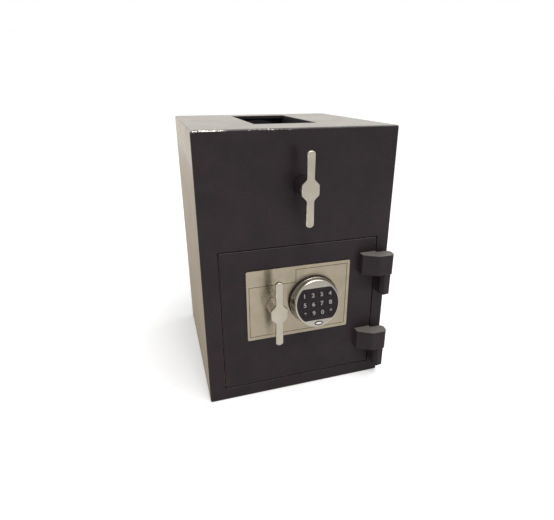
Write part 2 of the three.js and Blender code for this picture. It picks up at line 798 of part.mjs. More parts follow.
// Lower handle: grip, turned boss with its spindle, and the crank that drives the bolts
function addLowerHandle() {
  const handle = new THREE.Group();
  handle.position.set(lowerHandleX - hingeAxisX, doorBack - hingeAxisY, plateMiddleZ);
  door.add(handle);
  const crankFront = doorBack + seatGap;
  place(handle, "lower_t_handle", handleGeometry(lowerHandleX, plateMiddleZ, lowerHandleProud), castNickel);
  const bossFront = frontFace - lowerHandleProud + handleThickness + seatGap;
  const bossBack = plateFront - seatGap;
  const spindle = turned(
    [
      [0, bossFront],
      [lowerBossDiameter / 2, bossFront],
      [lowerBossDiameter / 2, bossBack],
      [spindleDiameter / 2, bossBack],
      [spindleDiameter / 2, crankBack],
      [0, crankBack],
    ],
    lowerHandleX,
    plateMiddleZ,
    32,
  );
  place(handle, "lower_handle_spindle", spindle, brightChrome);

  const pinSide = crankPinOrbit * Math.SQRT1_2;
  const disc = rodAlongY(crankRadius, crankFront, crankBack, lowerHandleX, plateMiddleZ);
  const bore = rodAlongY(
    spindleDiameter / 2 + seatGap,
    crankFront - cutOverrun,
    crankBack + cutOverrun,
    lowerHandleX,
    plateMiddleZ,
  );
  const pin = rodAlongY(
    crankPinDiameter / 2,
    (crankFront + crankBack) / 2,
    carriageFront + carriageThickness + crankPinOverrun,
    lowerHandleX + pinSide,
    plateMiddleZ - pinSide,
    16,
  );
  place(handle, "bolt_crank", join(cut(disc, bore), pin), zincSteel);
}

// Bolts on a carriage that slides sideways on two studs
function addBoltwork() {
  const boltHeights = [doorTop - boltEndMargin, doorBottom + boltEndMargin];
  const boltNames = ["locking_bolt_upper", "locking_bolt_lower"];
  const studHeights = [boltHeights[0] - studFromBolt, boltHeights[1] + studFromBolt];
  const studNames = ["carriage_stud_upper", "carriage_stud_lower"];
  const carriageBack = carriageFront + carriageThickness;
  const slide = new THREE.Group();
  door.add(slide);
  boltHeights.forEach((z, index) => {
    const bolt = rodAlongX(boltDiameter / 2, boltTip, boltTip + boltLength, boltAxisY, z);
    place(slide, boltNames[index], bolt, brightChrome);
  });

  const pinSide = crankPinOrbit * Math.SQRT1_2;
  const pinRadius = crankPinDiameter / 2;
  const studRadius = studDiameter / 2;
  const crankSlotBottom = plateMiddleZ - crankPinOrbit - pinRadius - slotEndGap;
  const studSlotRight = studX + studRadius + boltThrow + slotEndGap;
  const armTop = plateMiddleZ + carriageArmAbove;
  const armBottom = crankSlotBottom - carriageArmMargin;
  const barRight = studSlotRight + slotRightMargin;
  const carriageTop = boltHeights[0] + carriageEndMargin;
  const carriageBottom = boltHeights[1] - carriageEndMargin;
  const carriageRight = lockCaseLeft - cutOverrun;
  const outline = [
    [carriageLeft, carriageBottom],
    [barRight, carriageBottom],
    [barRight, armBottom],
    [carriageRight, armBottom],
    [carriageRight, armTop],
    [barRight, armTop],
    [barRight, carriageTop],
    [carriageLeft, carriageTop],
  ];
  const slab = sliceAlongY(shapeOf(outline), carriageFront, carriageBack);
  const crankSlot = block(
    [lowerHandleX + pinSide - pinRadius - slotSideGap, carriageFront - cutOverrun, crankSlotBottom],
    [
      lowerHandleX + pinSide + pinRadius + slotSideGap,
      carriageBack + cutOverrun,
      plateMiddleZ - pinSide + pinRadius + slotEndGap,
    ],
  );
  const studSlots = studHeights.map((z) =>
    block(
      [studX - studRadius - slotEndGap, carriageFront - cutOverrun, z - studRadius - turningGap],
      [studSlotRight, carriageBack + cutOverrun, z + studRadius + turningGap],
    ),
  );
  place(slide, "bolt_carriage", cut(slab, crankSlot, ...studSlots), zincSteel);

  studHeights.forEach((z, index) => {
    const headFront = carriageBack + seatGap;
    const stud = turned(
      [
        [0, doorBack + seatGap],
        [studRadius, doorBack + seatGap],
        [studRadius, headFront],
        [studHeadDiameter / 2, headFront],
        [studHeadDiameter / 2, headFront + studHeadThickness],
        [0, headFront + studHeadThickness],
      ],
      studX,
      z,
      16,
    );
    place(door, studNames[index], stud, zincSteel);
  });

  const footFront = doorBack + seatGap;
  const guideBack = doorBack + boltFrontGap + boltDiameter + guideBackMargin;
  const angle = [
    [guideLeft, footFront],
    [guideLeft + guideFoot, footFront],
    [guideLeft + guideFoot, footFront + guideFootThickness],
    [guideLeft + guideThickness, footFront + guideFootThickness],
    [guideLeft + guideThickness, guideBack],
    [guideLeft, guideBack],
  ];
  const rail = sliceAlongZ(shapeOf(angle), doorBottom + guideEndMargin, doorTop - guideEndMargin);
  const boltHoles = boltHeights.map((z) =>
    rodAlongX(
      boltDiameter / 2 + turningGap,
      guideLeft - cutOverrun,
      guideLeft + guideFoot + cutOverrun,
      boltAxisY,
      z,
    ),
  );
  place(door, "bolt_guide", cut(rail, ...boltHoles), zincSteel);

  const deadBarRight = openingRight + deadBarOverlap;
  const deadBar = block(
    [deadBarRight - deadBarWidth, footFront, doorBottom + deadBarEndMargin],
    [deadBarRight, footFront + deadBarThickness, doorTop - deadBarEndMargin],
  );
  place(door, "dead_bar", deadBar, zincSteel);
}

// Lock case with the bolt that drops in behind the carriage
function addLock() {
  const caseFront = doorBack + seatGap;
  const shell = block(
    [lockCaseLeft, caseFront, plateMiddleZ - lockCaseHeight / 2],
    [lockWellEnd + lockCaseEndWall, caseFront + lockCaseDepth, plateMiddleZ + lockCaseHeight / 2],
  );
  const half = lockBoltHeight / 2;
  const well = block(
    [lockCaseLeft - cutOverrun, carriageFront - seatGap, plateMiddleZ - half - seatGap],
    [lockWellEnd, carriageFront + lockBoltThickness + seatGap, plateMiddleZ + half + seatGap],
  );
  place(door, "lock_case", cut(shell, well), zincSteel);
  const bolt = block(
    [lockCaseLeft, carriageFront, plateMiddleZ - half],
    [lockCaseLeft + lockBoltLength, carriageFront + lockBoltThickness, plateMiddleZ + half],
  );
  const slide = new THREE.Group();
  door.add(slide);
  place(slide, "lock_bolt", bolt, bronze);
}

addCabinet();
addFrameBars();
addHinge("upper", upperHingeShare);
addHinge("lower", lowerHingeShare);
addHopperCasing();
addHopper();
addDoorPlate();
addKeypad();
addLowerHandle();
addBoltwork();
addLock();

export default safe;
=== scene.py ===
"""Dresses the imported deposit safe: a welded steel cabinet with a rotary hopper above a keypad door.

Metres. X runs to the right as seen from the front, Y to the back and Z up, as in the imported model.
"""

import json
import logging
import math
from collections.abc import Iterable, Sequence
from dataclasses import dataclass, field
from enum import Enum
from functools import cache
from typing import ClassVar

import bmesh
import bpy
from bmesh.types import BMesh, BMEdge, BMFace, BMVert
from bpy.types import ID, Light, Material, Node, NodeSocket, NodeTree, Object
from mathutils import Matrix, Vector


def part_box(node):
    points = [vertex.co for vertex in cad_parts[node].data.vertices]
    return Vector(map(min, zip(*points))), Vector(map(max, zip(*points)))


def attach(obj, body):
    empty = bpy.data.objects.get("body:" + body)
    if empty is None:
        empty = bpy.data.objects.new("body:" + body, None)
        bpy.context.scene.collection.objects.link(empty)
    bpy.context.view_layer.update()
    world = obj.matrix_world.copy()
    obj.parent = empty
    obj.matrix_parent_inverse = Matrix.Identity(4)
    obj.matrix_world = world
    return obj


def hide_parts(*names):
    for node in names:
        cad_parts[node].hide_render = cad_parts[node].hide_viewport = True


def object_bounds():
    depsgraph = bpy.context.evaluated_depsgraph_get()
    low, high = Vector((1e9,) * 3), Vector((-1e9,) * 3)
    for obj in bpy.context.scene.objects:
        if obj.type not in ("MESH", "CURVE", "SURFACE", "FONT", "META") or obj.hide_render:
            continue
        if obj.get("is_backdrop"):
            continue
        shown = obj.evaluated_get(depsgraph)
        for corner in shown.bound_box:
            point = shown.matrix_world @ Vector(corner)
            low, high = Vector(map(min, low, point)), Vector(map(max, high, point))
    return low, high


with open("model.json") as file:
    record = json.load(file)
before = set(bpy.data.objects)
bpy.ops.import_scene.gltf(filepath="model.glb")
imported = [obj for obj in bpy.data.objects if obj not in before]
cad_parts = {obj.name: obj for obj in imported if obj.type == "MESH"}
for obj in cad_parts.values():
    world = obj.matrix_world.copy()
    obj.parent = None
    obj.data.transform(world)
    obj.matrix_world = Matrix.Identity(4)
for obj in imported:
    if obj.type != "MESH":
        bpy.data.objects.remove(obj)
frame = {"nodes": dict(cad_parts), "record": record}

log = logging.getLogger("deposit_safe")

Colour = tuple[float, float, float]
Span = tuple[float, float]
Profile = Sequence[tuple[float, float]]
SocketValue = NodeSocket | float | Sequence[float]
Sockets = dict[str, NodeSocket]

MM = 0.001
WELD = 1e-6
SEAT_GAP = 0.3 * MM
TURNING_GAP = 0.5 * MM
SPINDLE_RADIUS = 6 * MM
EDGE_LAYER = "edge_wear"
USUAL_WEAR = 0.66
CIRCLE_PROFILE = 0.5
FLAT_ANGLE = math.radians(0.5)
SHARP_ANGLE = math.radians(30)
SHADING_ANGLE = math.radians(35)
QUARTER_TURN = math.radians(90)
ALL_WAYS = Vector((1, 1, 1))
ACROSS_FRONT = Vector((1, 0, 1))


class Slot(Enum):
    """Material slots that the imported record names."""

    BODY_PAINT = "body_paint"
    INNER_PAINT = "inner_paint"
    STAINLESS = "stainless"
    CAST_NICKEL = "cast_nickel"
    BRIGHT_CHROME = "bright_chrome"
    BLACK_PLASTIC = "black_plastic"
    KEY_RUBBER = "key_rubber"
    ZINC_STEEL = "zinc_steel"
    BRONZE = "bronze"


class Body(Enum):
    """Bodies that move on their own."""

    CABINET = "cabinet"
    HOPPER = "hopper"
    DOOR = "door"
    HANDLE = "handle"
    CARRIAGE = "carriage"
    DEADLOCK = "deadlock"


class Axis(Enum):
    """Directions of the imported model."""

    X = 0
    Y = 1
    Z = 2

    @property
    def vector(self) -> Vector:
        """Return the unit vector along the axis."""
        return Vector([1.0 if index == self.value else 0.0 for index in range(3)])

    @property
    def turn(self) -> Matrix:
        """Return the turn that brings +Z onto the axis."""
        return Vector((0, 0, 1)).rotation_difference(self.vector).to_matrix().to_4x4()


# Node trees

SOCKET_KINDS = {
    "Vector": "NodeSocketVector",
    "Normal": "NodeSocketVector",
    "Dark": "NodeSocketColor",
    "Light": "NodeSocketColor",
    "Color": "NodeSocketColor",
}
COLOUR_MIX_INPUTS = (0, 6, 7)
COLOUR_MIX_OUTPUT = 2


class Graph:
    """Adds nodes to one node tree and links them."""

    def __init__(self, tree: NodeTree) -> None:
        """Keep the node tree that the nodes go to."""
        self.tree = tree

    def add(self, kind: str, **settings: object) -> Node:
        """Add a node.

        Args:
            kind: Blender's name of the node type.
            **settings: Properties of the node.

        Returns:
            The new node.
        """
        node = self.tree.nodes.new(kind)
        for name, value in settings.items():
            setattr(node, name, value)
        return node

    def feed(self, socket: NodeSocket, value: SocketValue) -> None:
        """Link a socket to an output, or set its constant.

        Args:
            socket: Input socket.
            value: Output socket of another node, or a constant.
        """
        if isinstance(value, NodeSocket):
            self.tree.links.new(value, socket)
        else:
            socket.default_value = value

    def wire(self, node: Node, values: dict[str, SocketValue]) -> None:
        """Feed several sockets of a node, by their names."""
        for name, value in values.items():
            self.feed(node.inputs[name], value)

    def math(self, operation: str, first: SocketValue, second: SocketValue = 0.0) -> NodeSocket:
        """Join two numbers by a sum, a product or the like.

        Args:
            operation: Blender's name of the operation.
            first: First number.
            second: Second number.

        Returns:
            The result's socket.
        """
        node = self.add("ShaderNodeMath", operation=operation)
        self.feed(node.inputs[0], first)
        self.feed(node.inputs[1], second)
        return node.outputs[0]

    def times(self, first: SocketValue, second: SocketValue) -> NodeSocket:
        """Return the product of two numbers."""
        return self.math("MULTIPLY", first, second)

    def plus(self, first: SocketValue, second: SocketValue) -> NodeSocket:
        """Return the sum of two numbers."""
        return self.math("ADD", first, second)

    def blend(self, share: float, first: NodeSocket, second: NodeSocket) -> NodeSocket:
        """Return a share of one number plus the rest of another."""
        return self.plus(self.times(first, share), self.times(second, 1.0 - share))

    def mix(self, share: SocketValue, first: SocketValue, second: SocketValue) -> NodeSocket:
        """Mix two colours.

        Args:
            share: Share of the second colour.
            first: First colour.
            second: Second colour.

        Returns:
            The mixed colour's socket.
        """
        node = self.add("ShaderNodeMix", data_type="RGBA")
        for index, value in zip(COLOUR_MIX_INPUTS, (share, opaque(first), opaque(second))):
            self.feed(node.inputs[index], value)
        return node.outputs[COLOUR_MIX_OUTPUT]

    def noise(self, vector: NodeSocket, scale: SocketValue, detail: float = 2.0) -> NodeSocket:
        """Add a noise over a vector.

        Args:
            vector: Coordinates.
            scale: Cells per unit.
            detail: Octaves.

        Returns:
            The noise's socket, from 0 to 1.
        """
        node = self.add("ShaderNodeTexNoise")
        self.wire(node, {"Vector": vector, "Scale": scale, "Detail": detail})
        return node.outputs[0]

    def ramp(
        self, value: SocketValue, low: float, high: float, start: float = 0.0, end: float = 1.0
    ) -> NodeSocket:
        """Spread a value from one range to another, and hold it there.

        Args:
            value: Number to spread.
            low: Value that gives start.
            high: Value that gives end.
            start: Result at low.
            end: Result at high.

        Returns:
            The result's socket.
        """
        node = self.add("ShaderNodeMapRange", clamp=True)
        self.wire(node, {"Value": value, "From Min": low, "From Max": high, "To Min": start, "To Max": end})
        return node.outputs["Result"]

    def stretch(self, vector: NodeSocket, scale: Sequence[float]) -> NodeSocket:
        """Stretch coordinates along each axis.

        Args:
            vector: Coordinates.
            scale: Factor along each axis.

        Returns:
            The stretched coordinates' socket.
        """
        node = self.add("ShaderNodeMapping")
        self.wire(node, {"Vector": vector, "Scale": scale})
        return node.outputs["Vector"]

    def upward(self, vector: NodeSocket) -> NodeSocket:
        """Take a vector's upward part.

        Args:
            vector: The vector.

        Returns:
            The socket of its Z.
        """
        parts = self.add("ShaderNodeSeparateXYZ")
        self.feed(parts.inputs["Vector"], vector)
        return parts.outputs["Z"]


def opaque(value: SocketValue) -> SocketValue:
    """Give a plain colour its fourth number.

    Args:
        value: Socket, or a colour of three or four numbers.

    Returns:
        The socket as it was, or a colour of four numbers.
    """
    if isinstance(value, NodeSocket):
        return value
    return (*tuple(value)[:3], 1.0)


# Effects that several finishes share


@dataclass(frozen=True)
class Effect:
    """A node group with named sockets, built once and placed in each finish that uses it."""

    name: str
    inputs: tuple[str, ...]
    outputs: tuple[str, ...]

    def fill(self, graph: Graph, given: Sockets) -> Sockets:
        """Build the group's inside from its inputs, and return its outputs by name."""
        raise NotImplementedError

    def place(self, graph: Graph, **values: SocketValue) -> Sockets:
        """Put the group in a material.

        Args:
            graph: The material's node tree.
            **values: The inputs, with their names in small letters.

        Returns:
            The outputs by name.
        """
        node = graph.add("ShaderNodeGroup", node_tree=effect_tree(self))
        graph.wire(node, {name.capitalize(): value for name, value in values.items()})
        return {socket.name: socket for socket in node.outputs}


@cache
def effect_tree(effect: Effect) -> NodeTree:
    """Build an effect's node group at its first use.

    Args:
        effect: The effect.

    Returns:
        The node group.
    """
    tree = bpy.data.node_groups.new(effect.name, "ShaderNodeTree")
    for way, names in (("INPUT", effect.inputs), ("OUTPUT", effect.outputs)):
        for name in names:
            kind = SOCKET_KINDS.get(name, "NodeSocketFloat")
            tree.interface.new_socket(name=name, in_out=way, socket_type=kind)
    graph = Graph(tree)
    entry = graph.add("NodeGroupInput")
    leave = graph.add("NodeGroupOutput")
    given = {socket.name: socket for socket in entry.outputs if socket.name}
    graph.wire(leave, effect.fill(graph, given))
    return tree


@dataclass(frozen=True)
class OrangePeel(Effect):
    """Low rounded bumps of sprayed enamel, with finer grit between them."""

    name: str = "orange_peel"
    inputs: tuple[str, ...] = ("Vector", "Scale")
    outputs: tuple[str, ...] = ("Height", "Fleck")
    coarse_share: float = 0.6
    fine_scale: float = 3.1
    fleck_span: Span = (0.42, 0.66)

    def fill(self, graph: Graph, given: Sockets) -> Sockets:
        """Build the group's inside.

        Args:
            graph: The group's node tree.
            given: The group's inputs by name.

        Returns:
            The height and a fleck mask.
        """
        coarse = graph.noise(given["Vector"], given["Scale"], detail=1.0)
        fine = graph.noise(given["Vector"], graph.times(given["Scale"], self.fine_scale))
        height = graph.blend(self.coarse_share, coarse, fine)
        return {"Height": height, "Fleck": graph.ramp(fine, *self.fleck_span)}


@dataclass(frozen=True)
class ToneVariation(Effect):
    """A slow drift between two near colours."""

    name: str = "tone_variation"
    inputs: tuple[str, ...] = ("Vector", "Scale", "Dark", "Light")
    outputs: tuple[str, ...] = ("Color",)
    drift_span: Span = (0.32, 0.68)

    def fill(self, graph: Graph, given: Sockets) -> Sockets:
        """Build the group's inside, and return the colour."""
        drift = graph.ramp(graph.noise(given["Vector"], given["Scale"], detail=4.0), *self.drift_span)
        return {"Color": graph.mix(drift, given["Dark"], given["Light"])}


@dataclass(frozen=True)
class EdgeWear(Effect):
    """Bare metal where a rounded edge has been rubbed; where an edge is marked to wear most, the bright
    specks also paint a highlight.
    """

    name: str = "edge_wear_mask"
    inputs: tuple[str, ...] = ("Vector", "Scale", "Edge", "Amount")
    outputs: tuple[str, ...] = ("Mask",)
    slow_scale: float = 0.04
    slow_share: float = 0.35
    sharpness: float = 14.0

    def fill(self, graph: Graph, given: Sockets) -> Sockets:
        """Build the group's inside.

        Args:
            graph: The group's node tree.
            given: The group's inputs by name.

        Returns:
            The wear mask.
        """
        broken = graph.noise(given["Vector"], given["Scale"], detail=5.0)
        slow = graph.noise(given["Vector"], graph.times(given["Scale"], self.slow_scale), detail=1.0)
        level = graph.blend(self.slow_share, slow, broken)
        limit = graph.math("SUBTRACT", 1.0, graph.times(given["Amount"], given["Edge"]))
        over = graph.times(graph.math("SUBTRACT", level, limit), self.sharpness)
        return {"Mask": graph.ramp(over, 0.0, 1.0)}


@dataclass(frozen=True)
class SettledDustAndTopLight(Effect):
    """A thin film of dust on faces that look up; its pale colour also paints these tops lighter, as light
    from above would.
    """

    name: str = "settled_dust"
    inputs: tuple[str, ...] = ("Vector", "Normal", "Amount")
    outputs: tuple[str, ...] = ("Mask",)
    facing_span: Span = (0.55, 0.95)
    patch_scale: float = 34.0
    patch_span: Span = (0.25, 0.75)
    thinnest: float = 0.7

    def fill(self, graph: Graph, given: Sockets) -> Sockets:
        """Build the group's inside.

        Args:
            graph: The group's node tree.
            given: The group's inputs by name.

        Returns:
            The mask of the dust and of the painted top light.
        """
        up = graph.ramp(graph.upward(given["Normal"]), *self.facing_span)
        patches = graph.noise(given["Vector"], self.patch_scale, detail=5.0)
        patchy = graph.ramp(patches, *self.patch_span, start=self.thinnest)
        return {"Mask": graph.times(up, graph.times(given["Amount"], patchy))}


@dataclass(frozen=True)
class BrushedStreaks(Effect):
    """Fine parallel scratches, along the first axis of stretched coordinates."""

    name: str = "brushed_streaks"
    inputs: tuple[str, ...] = ("Vector", "Scale")
    outputs: tuple[str, ...] = ("Streak", "Height")
    fine_scale: float = 4.3
    broad_share: float = 0.5
    streak_span: Span = (0.3, 0.7)

    def fill(self, graph: Graph, given: Sockets) -> Sockets:
        """Build the group's inside.

        Args:
            graph: The group's node tree.
            given: The group's inputs by name.

        Returns:
            The streak value and the scratch height.
        """
        broad = graph.noise(given["Vector"], given["Scale"])
        fine = graph.noise(given["Vector"], graph.times(given["Scale"], self.fine_scale), detail=3.0)
        both = graph.blend(self.broad_share, broad, fine)
        return {"Streak": graph.ramp(both, *self.streak_span), "Height": fine}


@dataclass(frozen=True)
class Smudges(Effect):
    """Patches that hands and cloths have left duller."""

    name: str = "smudges"
    inputs: tuple[str, ...] = ("Vector", "Scale", "Roughness", "Swing")
    outputs: tuple[str, ...] = ("Roughness",)
    patch_span: Span = (0.35, 0.7)

    def fill(self, graph: Graph, given: Sockets) -> Sockets:
        """Build the group's inside, and return the roughness."""
        patch = graph.ramp(graph.noise(given["Vector"], given["Scale"], detail=3.0), *self.patch_span)
        return {"Roughness": graph.plus(given["Roughness"], graph.times(patch, given["Swing"]))}


PEEL = OrangePeel()
TONE = ToneVariation()
WEAR = EdgeWear()
DUST_AND_TOP_LIGHT = SettledDustAndTopLight()
STREAKS = BrushedStreaks()
SMUDGES = Smudges()


# Finishes


@dataclass(frozen=True)
class Finish:
    """A surface finish, made once as a node material, that drifts between a dark and a light tone."""

    name: str
    slot: Slot
    dark: Colour
    light: Colour
    tone_scale: ClassVar[float]
    smudge_scale: ClassVar[float]

    def dress(self, graph: Graph, shader: Node, place: NodeSocket) -> None:
        """Feed the shader, with patterns that follow the object coordinates."""
        raise NotImplementedError

    def material(self) -> Material:
        """Return the finish's material."""
        return finish_material(self)

    def tone(self, graph: Graph, place: NodeSocket) -> NodeSocket:
        """Return the colour between the dark and the light tone."""
        tones = {"dark": opaque(self.dark), "light": opaque(self.light)}
        return TONE.place(graph, vector=place, scale=self.tone_scale, **tones)["Color"]

    def worn(self, graph: Graph, place: NodeSocket, scale: float, amount: float) -> NodeSocket:
        """Return the mask of the rubbed edges."""
        edge = graph.add("ShaderNodeAttribute", attribute_name=EDGE_LAYER).outputs["Fac"]
        return WEAR.place(graph, vector=place, scale=scale, edge=edge, amount=amount)["Mask"]

    def smudged(self, graph: Graph, place: NodeSocket, roughness: SocketValue, swing: float) -> NodeSocket:
        """Return a roughness that swings up in patches."""
        values = {"scale": self.smudge_scale, "roughness": roughness, "swing": swing}
        return SMUDGES.place(graph, vector=place, **values)["Roughness"]

    def emboss(self, graph: Graph, shader: Node, height: NodeSocket, depth: float) -> None:
        """Raise a height on the surface.

        Args:
            graph: The material's node tree.
            shader: The material's main shader.
            height: Height from 0 to 1.
            depth: Height in metres that 1 stands for.
        """
        bump = graph.add("ShaderNodeBump")
        bump.inputs["Distance"].default_value = depth
        graph.feed(bump.inputs["Height"], height)
        graph.feed(shader.inputs["Normal"], bump.outputs["Normal"])


@cache
def finish_material(finish: Finish) -> Material:
    """Build a finish's material at its first use.

    Args:
        finish: The finish.

    Returns:
        The material.
    """
    material = bpy.data.materials.new(finish.name)
    material.use_nodes = True
    graph = Graph(material.node_tree)
    graph.tree.nodes.clear()
    output = graph.add("ShaderNodeOutputMaterial")
    shader = graph.add("ShaderNodeBsdfPrincipled")
    graph.feed(output.inputs["Surface"], shader.outputs["BSDF"])
    coordinates = graph.add("ShaderNodeTexCoord")
    finish.dress(graph, shader, coordinates.outputs["Object"])
    return material


@dataclass(frozen=True)
class Enamel(Finish):
    """Sprayed textured enamel on steel."""

    tone_scale: ClassVar[float] = 26.0
    smudge_scale: ClassVar[float] = 19.0
    roughness: float = 0.26
    scuffed: float = 0.4
    scuff_power: float = 0.5
    polished: float = 0.2
    height: float = 450 * MM
    rubbed: float = 0.05
    gloss: float = 0.23
    sheen: float = 0.68
    sheen_roughness: float = 0.22
    sheen_tint: Colour = (0.78, 0.65, 0.46)
    peel_scale: float = 420.0
    peel_depth: float = 0.035 * MM
    fleck_share: float = 0.3
    fleck_gain: float = 1.7
    wear: float = 0.56
    wear_scale: float = 600.0
    dust_and_top_light: float = 0.0
    bare_metal: Colour = (0.62, 0.58, 0.52)
    dust_and_top_light_colour: Colour = (0.33, 0.305, 0.275)

    def dress(self, graph: Graph, shader: Node, place: NodeSocket) -> None:
        """Feed the shader with mottled paint, a dust film that also paints upward faces lighter, and worn
        edges.

        Args:
            graph: The material's node tree.
            shader: The material's main shader.
            place: Object coordinates.
        """
        peel = PEEL.place(graph, vector=place, scale=self.peel_scale)
        fleck = [channel * self.fleck_gain for channel in self.light]
        flecked = graph.mix(graph.times(peel["Fleck"], self.fleck_share), self.tone(graph, place), fleck)
        normal = graph.add("ShaderNodeNewGeometry").outputs["Normal"]
        # Dust on upward faces: partly real dust, partly painted light that makes the tops paler.
        dust_and_top_light = DUST_AND_TOP_LIGHT.place(graph, vector=place, normal=normal, amount=self.dust_and_top_light)["Mask"]
        dusty_and_top_lit = graph.mix(dust_and_top_light, flecked, self.dust_and_top_light_colour)
        bare = self.worn(graph, place, self.wear_scale, self.wear)
        down = graph.ramp(graph.upward(place), 0.0, self.height, start=1.0, end=0.0)
        scuffs = graph.times(graph.math("POWER", down, self.scuff_power), self.scuffed)
        rubbed = self.smudged(graph, place, graph.plus(scuffs, self.roughness), self.rubbed)
        values = {
            "Base Color": graph.mix(bare, dusty_and_top_lit, self.bare_metal),
            "Metallic": bare,
            "Roughness": graph.math("SUBTRACT", rubbed, graph.times(dust_and_top_light, self.polished)),
            "Specular IOR Level": self.gloss,
            "Sheen Weight": self.sheen,
            "Sheen Roughness": self.sheen_roughness,
            "Sheen Tint": opaque(self.sheen_tint),
        }
        graph.wire(shader, values)
        self.emboss(graph, shader, peel["Height"], self.peel_depth)


@dataclass(frozen=True)
class BrushedMetal(Finish):
    """Metal with a grain, from satin to polished."""

    tone_scale: ClassVar[float] = 42.0
    smudge_scale: ClassVar[float] = 60.0
    roughness: float
    grain: tuple[float, float, float] = (1.0, 1.0, 1.0)
    grain_scale: float = 900.0
    grain_depth: float = 0.004 * MM
    grain_turn: float = 0.25
    swing: float = 0.08
    streak_share: float = 0.5
    anisotropy: float = 0.0
    wear: float = 0.7
    wear_scale: float = 150.0
    # Pale burnished edge colour, which on the handles' rims also paints the highlight their bevels catch.
    burnish_and_highlight: Colour = (0.62, 0.58, 0.5)

    def dress(self, graph: Graph, shader: Node, place: NodeSocket) -> None:
        """Feed the shader with a streaked or grainy metal.

        Args:
            graph: The material's node tree.
            shader: The material's main shader.
            place: Object coordinates.
        """
        along = graph.stretch(place, self.grain)
        streaks = STREAKS.place(graph, vector=along, scale=self.grain_scale)
        share = graph.times(streaks["Streak"], self.streak_share)
        grained = graph.mix(share, self.tone(graph, place), self.light)
        # Rubbed edges turn a pale burnished colour; on the handles' rims this is partly real wear and
        # partly a painted highlight.
        burnished_and_highlit = self.worn(graph, place, self.wear_scale, self.wear)
        smudged = self.smudged(graph, place, self.roughness, self.swing)
        values = {
            "Base Color": graph.mix(burnished_and_highlit, grained, self.burnish_and_highlight),
            "Metallic": 1.0,
            "Anisotropic": self.anisotropy,
            "Anisotropic Rotation": self.grain_turn,
            "Roughness": graph.plus(smudged, graph.times(streaks["Streak"], self.swing)),
        }
        graph.wire(shader, values)
        self.emboss(graph, shader, streaks["Height"], self.grain_depth)


@dataclass(frozen=True)
class Moulded(Finish):
    """Moulded plastic or rubber with a spark-eroded grain."""

    tone_scale: ClassVar[float] = 90.0
    smudge_scale: ClassVar[float] = 70.0
    roughness: float
    gloss: float = 0.5
    swing: float = 0.1
    grain_scale: float = 1600.0
    grain_depth: float = 0.008 * MM

    def dress(self, graph: Graph, shader: Node, place: NodeSocket) -> None:
        """Feed the shader with a grained, slightly mottled polymer.

        Args:
            graph: The material's node tree.
            shader: The material's main shader.
            place: Object coordinates.
        """
        peel = PEEL.place(graph, vector=place, scale=self.grain_scale)
        values = {
            "Base Color": self.tone(graph, place),
            "Roughness": self.smudged(graph, place, self.roughness, self.swing),
            "Specular IOR Level": self.gloss,
        }
        graph.wire(shader, values)
        self.emboss(graph, shader, peel["Height"], self.grain_depth)


CHARCOAL_ENAMEL = Enamel(
    "charcoal_enamel",
    Slot.BODY_PAINT,
    dark=(0.0092, 0.005, 0.007),
    light=(0.0155, 0.0098, 0.0122),
    # The dust amount also sets how much lighter the tops are painted.
    dust_and_top_light=0.42,
)
# Inside paint, also put on the door gap's walls to paint the gap's shade.
INSIDE_AND_GAP_SHADE_ENAMEL = Enamel(
    "inside_enamel",
    Slot.INNER_PAINT,
    dark=(0.011, 0.008, 0.0115),
    light=(0.015, 0.011, 0.0155),
    roughness=0.5,
    scuffed=0.0,
    gloss=0.2,
    sheen=0.2,
)
BRUSHED_STAINLESS = BrushedMetal(
    "brushed_stainless",
    Slot.STAINLESS,
    dark=(0.272, 0.235, 0.174),
    light=(0.325, 0.281, 0.212),
    roughness=0.24,
    grain=(0.03, 1.0, 1.0),
    grain_depth=0.0015 * MM,
    anisotropy=0.9,
)
ENGRAVED_LINE = BrushedMetal(
    "engraved_line", Slot.STAINLESS, dark=(0.075, 0.063, 0.048), light=(0.11, 0.095, 0.073), roughness=0.5
)
SATIN_NICKEL = BrushedMetal(
    "satin_nickel", Slot.CAST_NICKEL, dark=(0.345, 0.312, 0.258), light=(0.405, 0.37, 0.308), roughness=0.26
)
SATIN_CHROME = BrushedMetal(
    "satin_chrome",
    Slot.CAST_NICKEL,
    dark=(0.33, 0.308, 0.268),
    light=(0.38, 0.358, 0.315),
    roughness=0.2,
    grain_depth=0.0004 * MM,
    swing=0.02,
    streak_share=0.3,
)
POLISHED_CHROME = BrushedMetal(
    "polished_chrome",
    Slot.BRIGHT_CHROME,
    dark=(0.56, 0.53, 0.49),
    light=(0.64, 0.61, 0.57),
    roughness=0.07,
    grain_depth=0.001 * MM,
    swing=0.04,
)
ZINC_PLATE = BrushedMetal(
    "zinc_plate",
    Slot.ZINC_STEEL,
    dark=(0.3, 0.3, 0.29),
    light=(0.46, 0.46, 0.44),
    roughness=0.34,
    grain_scale=260.0,
)
SINTERED_BRONZE = BrushedMetal(
    "sintered_bronze",
    Slot.BRONZE,
    dark=(0.26, 0.155, 0.06),
    light=(0.4, 0.26, 0.11),
    roughness=0.4,
    grain_scale=1400.0,
    grain_depth=0.01 * MM,
)
MATT_BLACK = Moulded(
    "matt_black_plastic",
    Slot.BLACK_PLASTIC,
    dark=(0.01, 0.006, 0.0075),
    light=(0.0145, 0.0095, 0.0115),
    roughness=0.5,
    gloss=0.2,
)
SLEEVE_BLACK = Moulded(
    "satin_black_sleeve",
    Slot.BLACK_PLASTIC,
    dark=(0.01, 0.008, 0.009),
    light=(0.016, 0.013, 0.014),
    roughness=0.3,
    gloss=0.6,
)
KEY_BLACK = Moulded(
    "key_rubber_black",
    Slot.KEY_RUBBER,
    dark=(0.01, 0.0065, 0.008),
    light=(0.0145, 0.01, 0.012),
    roughness=0.6,
    gloss=0.2,
)
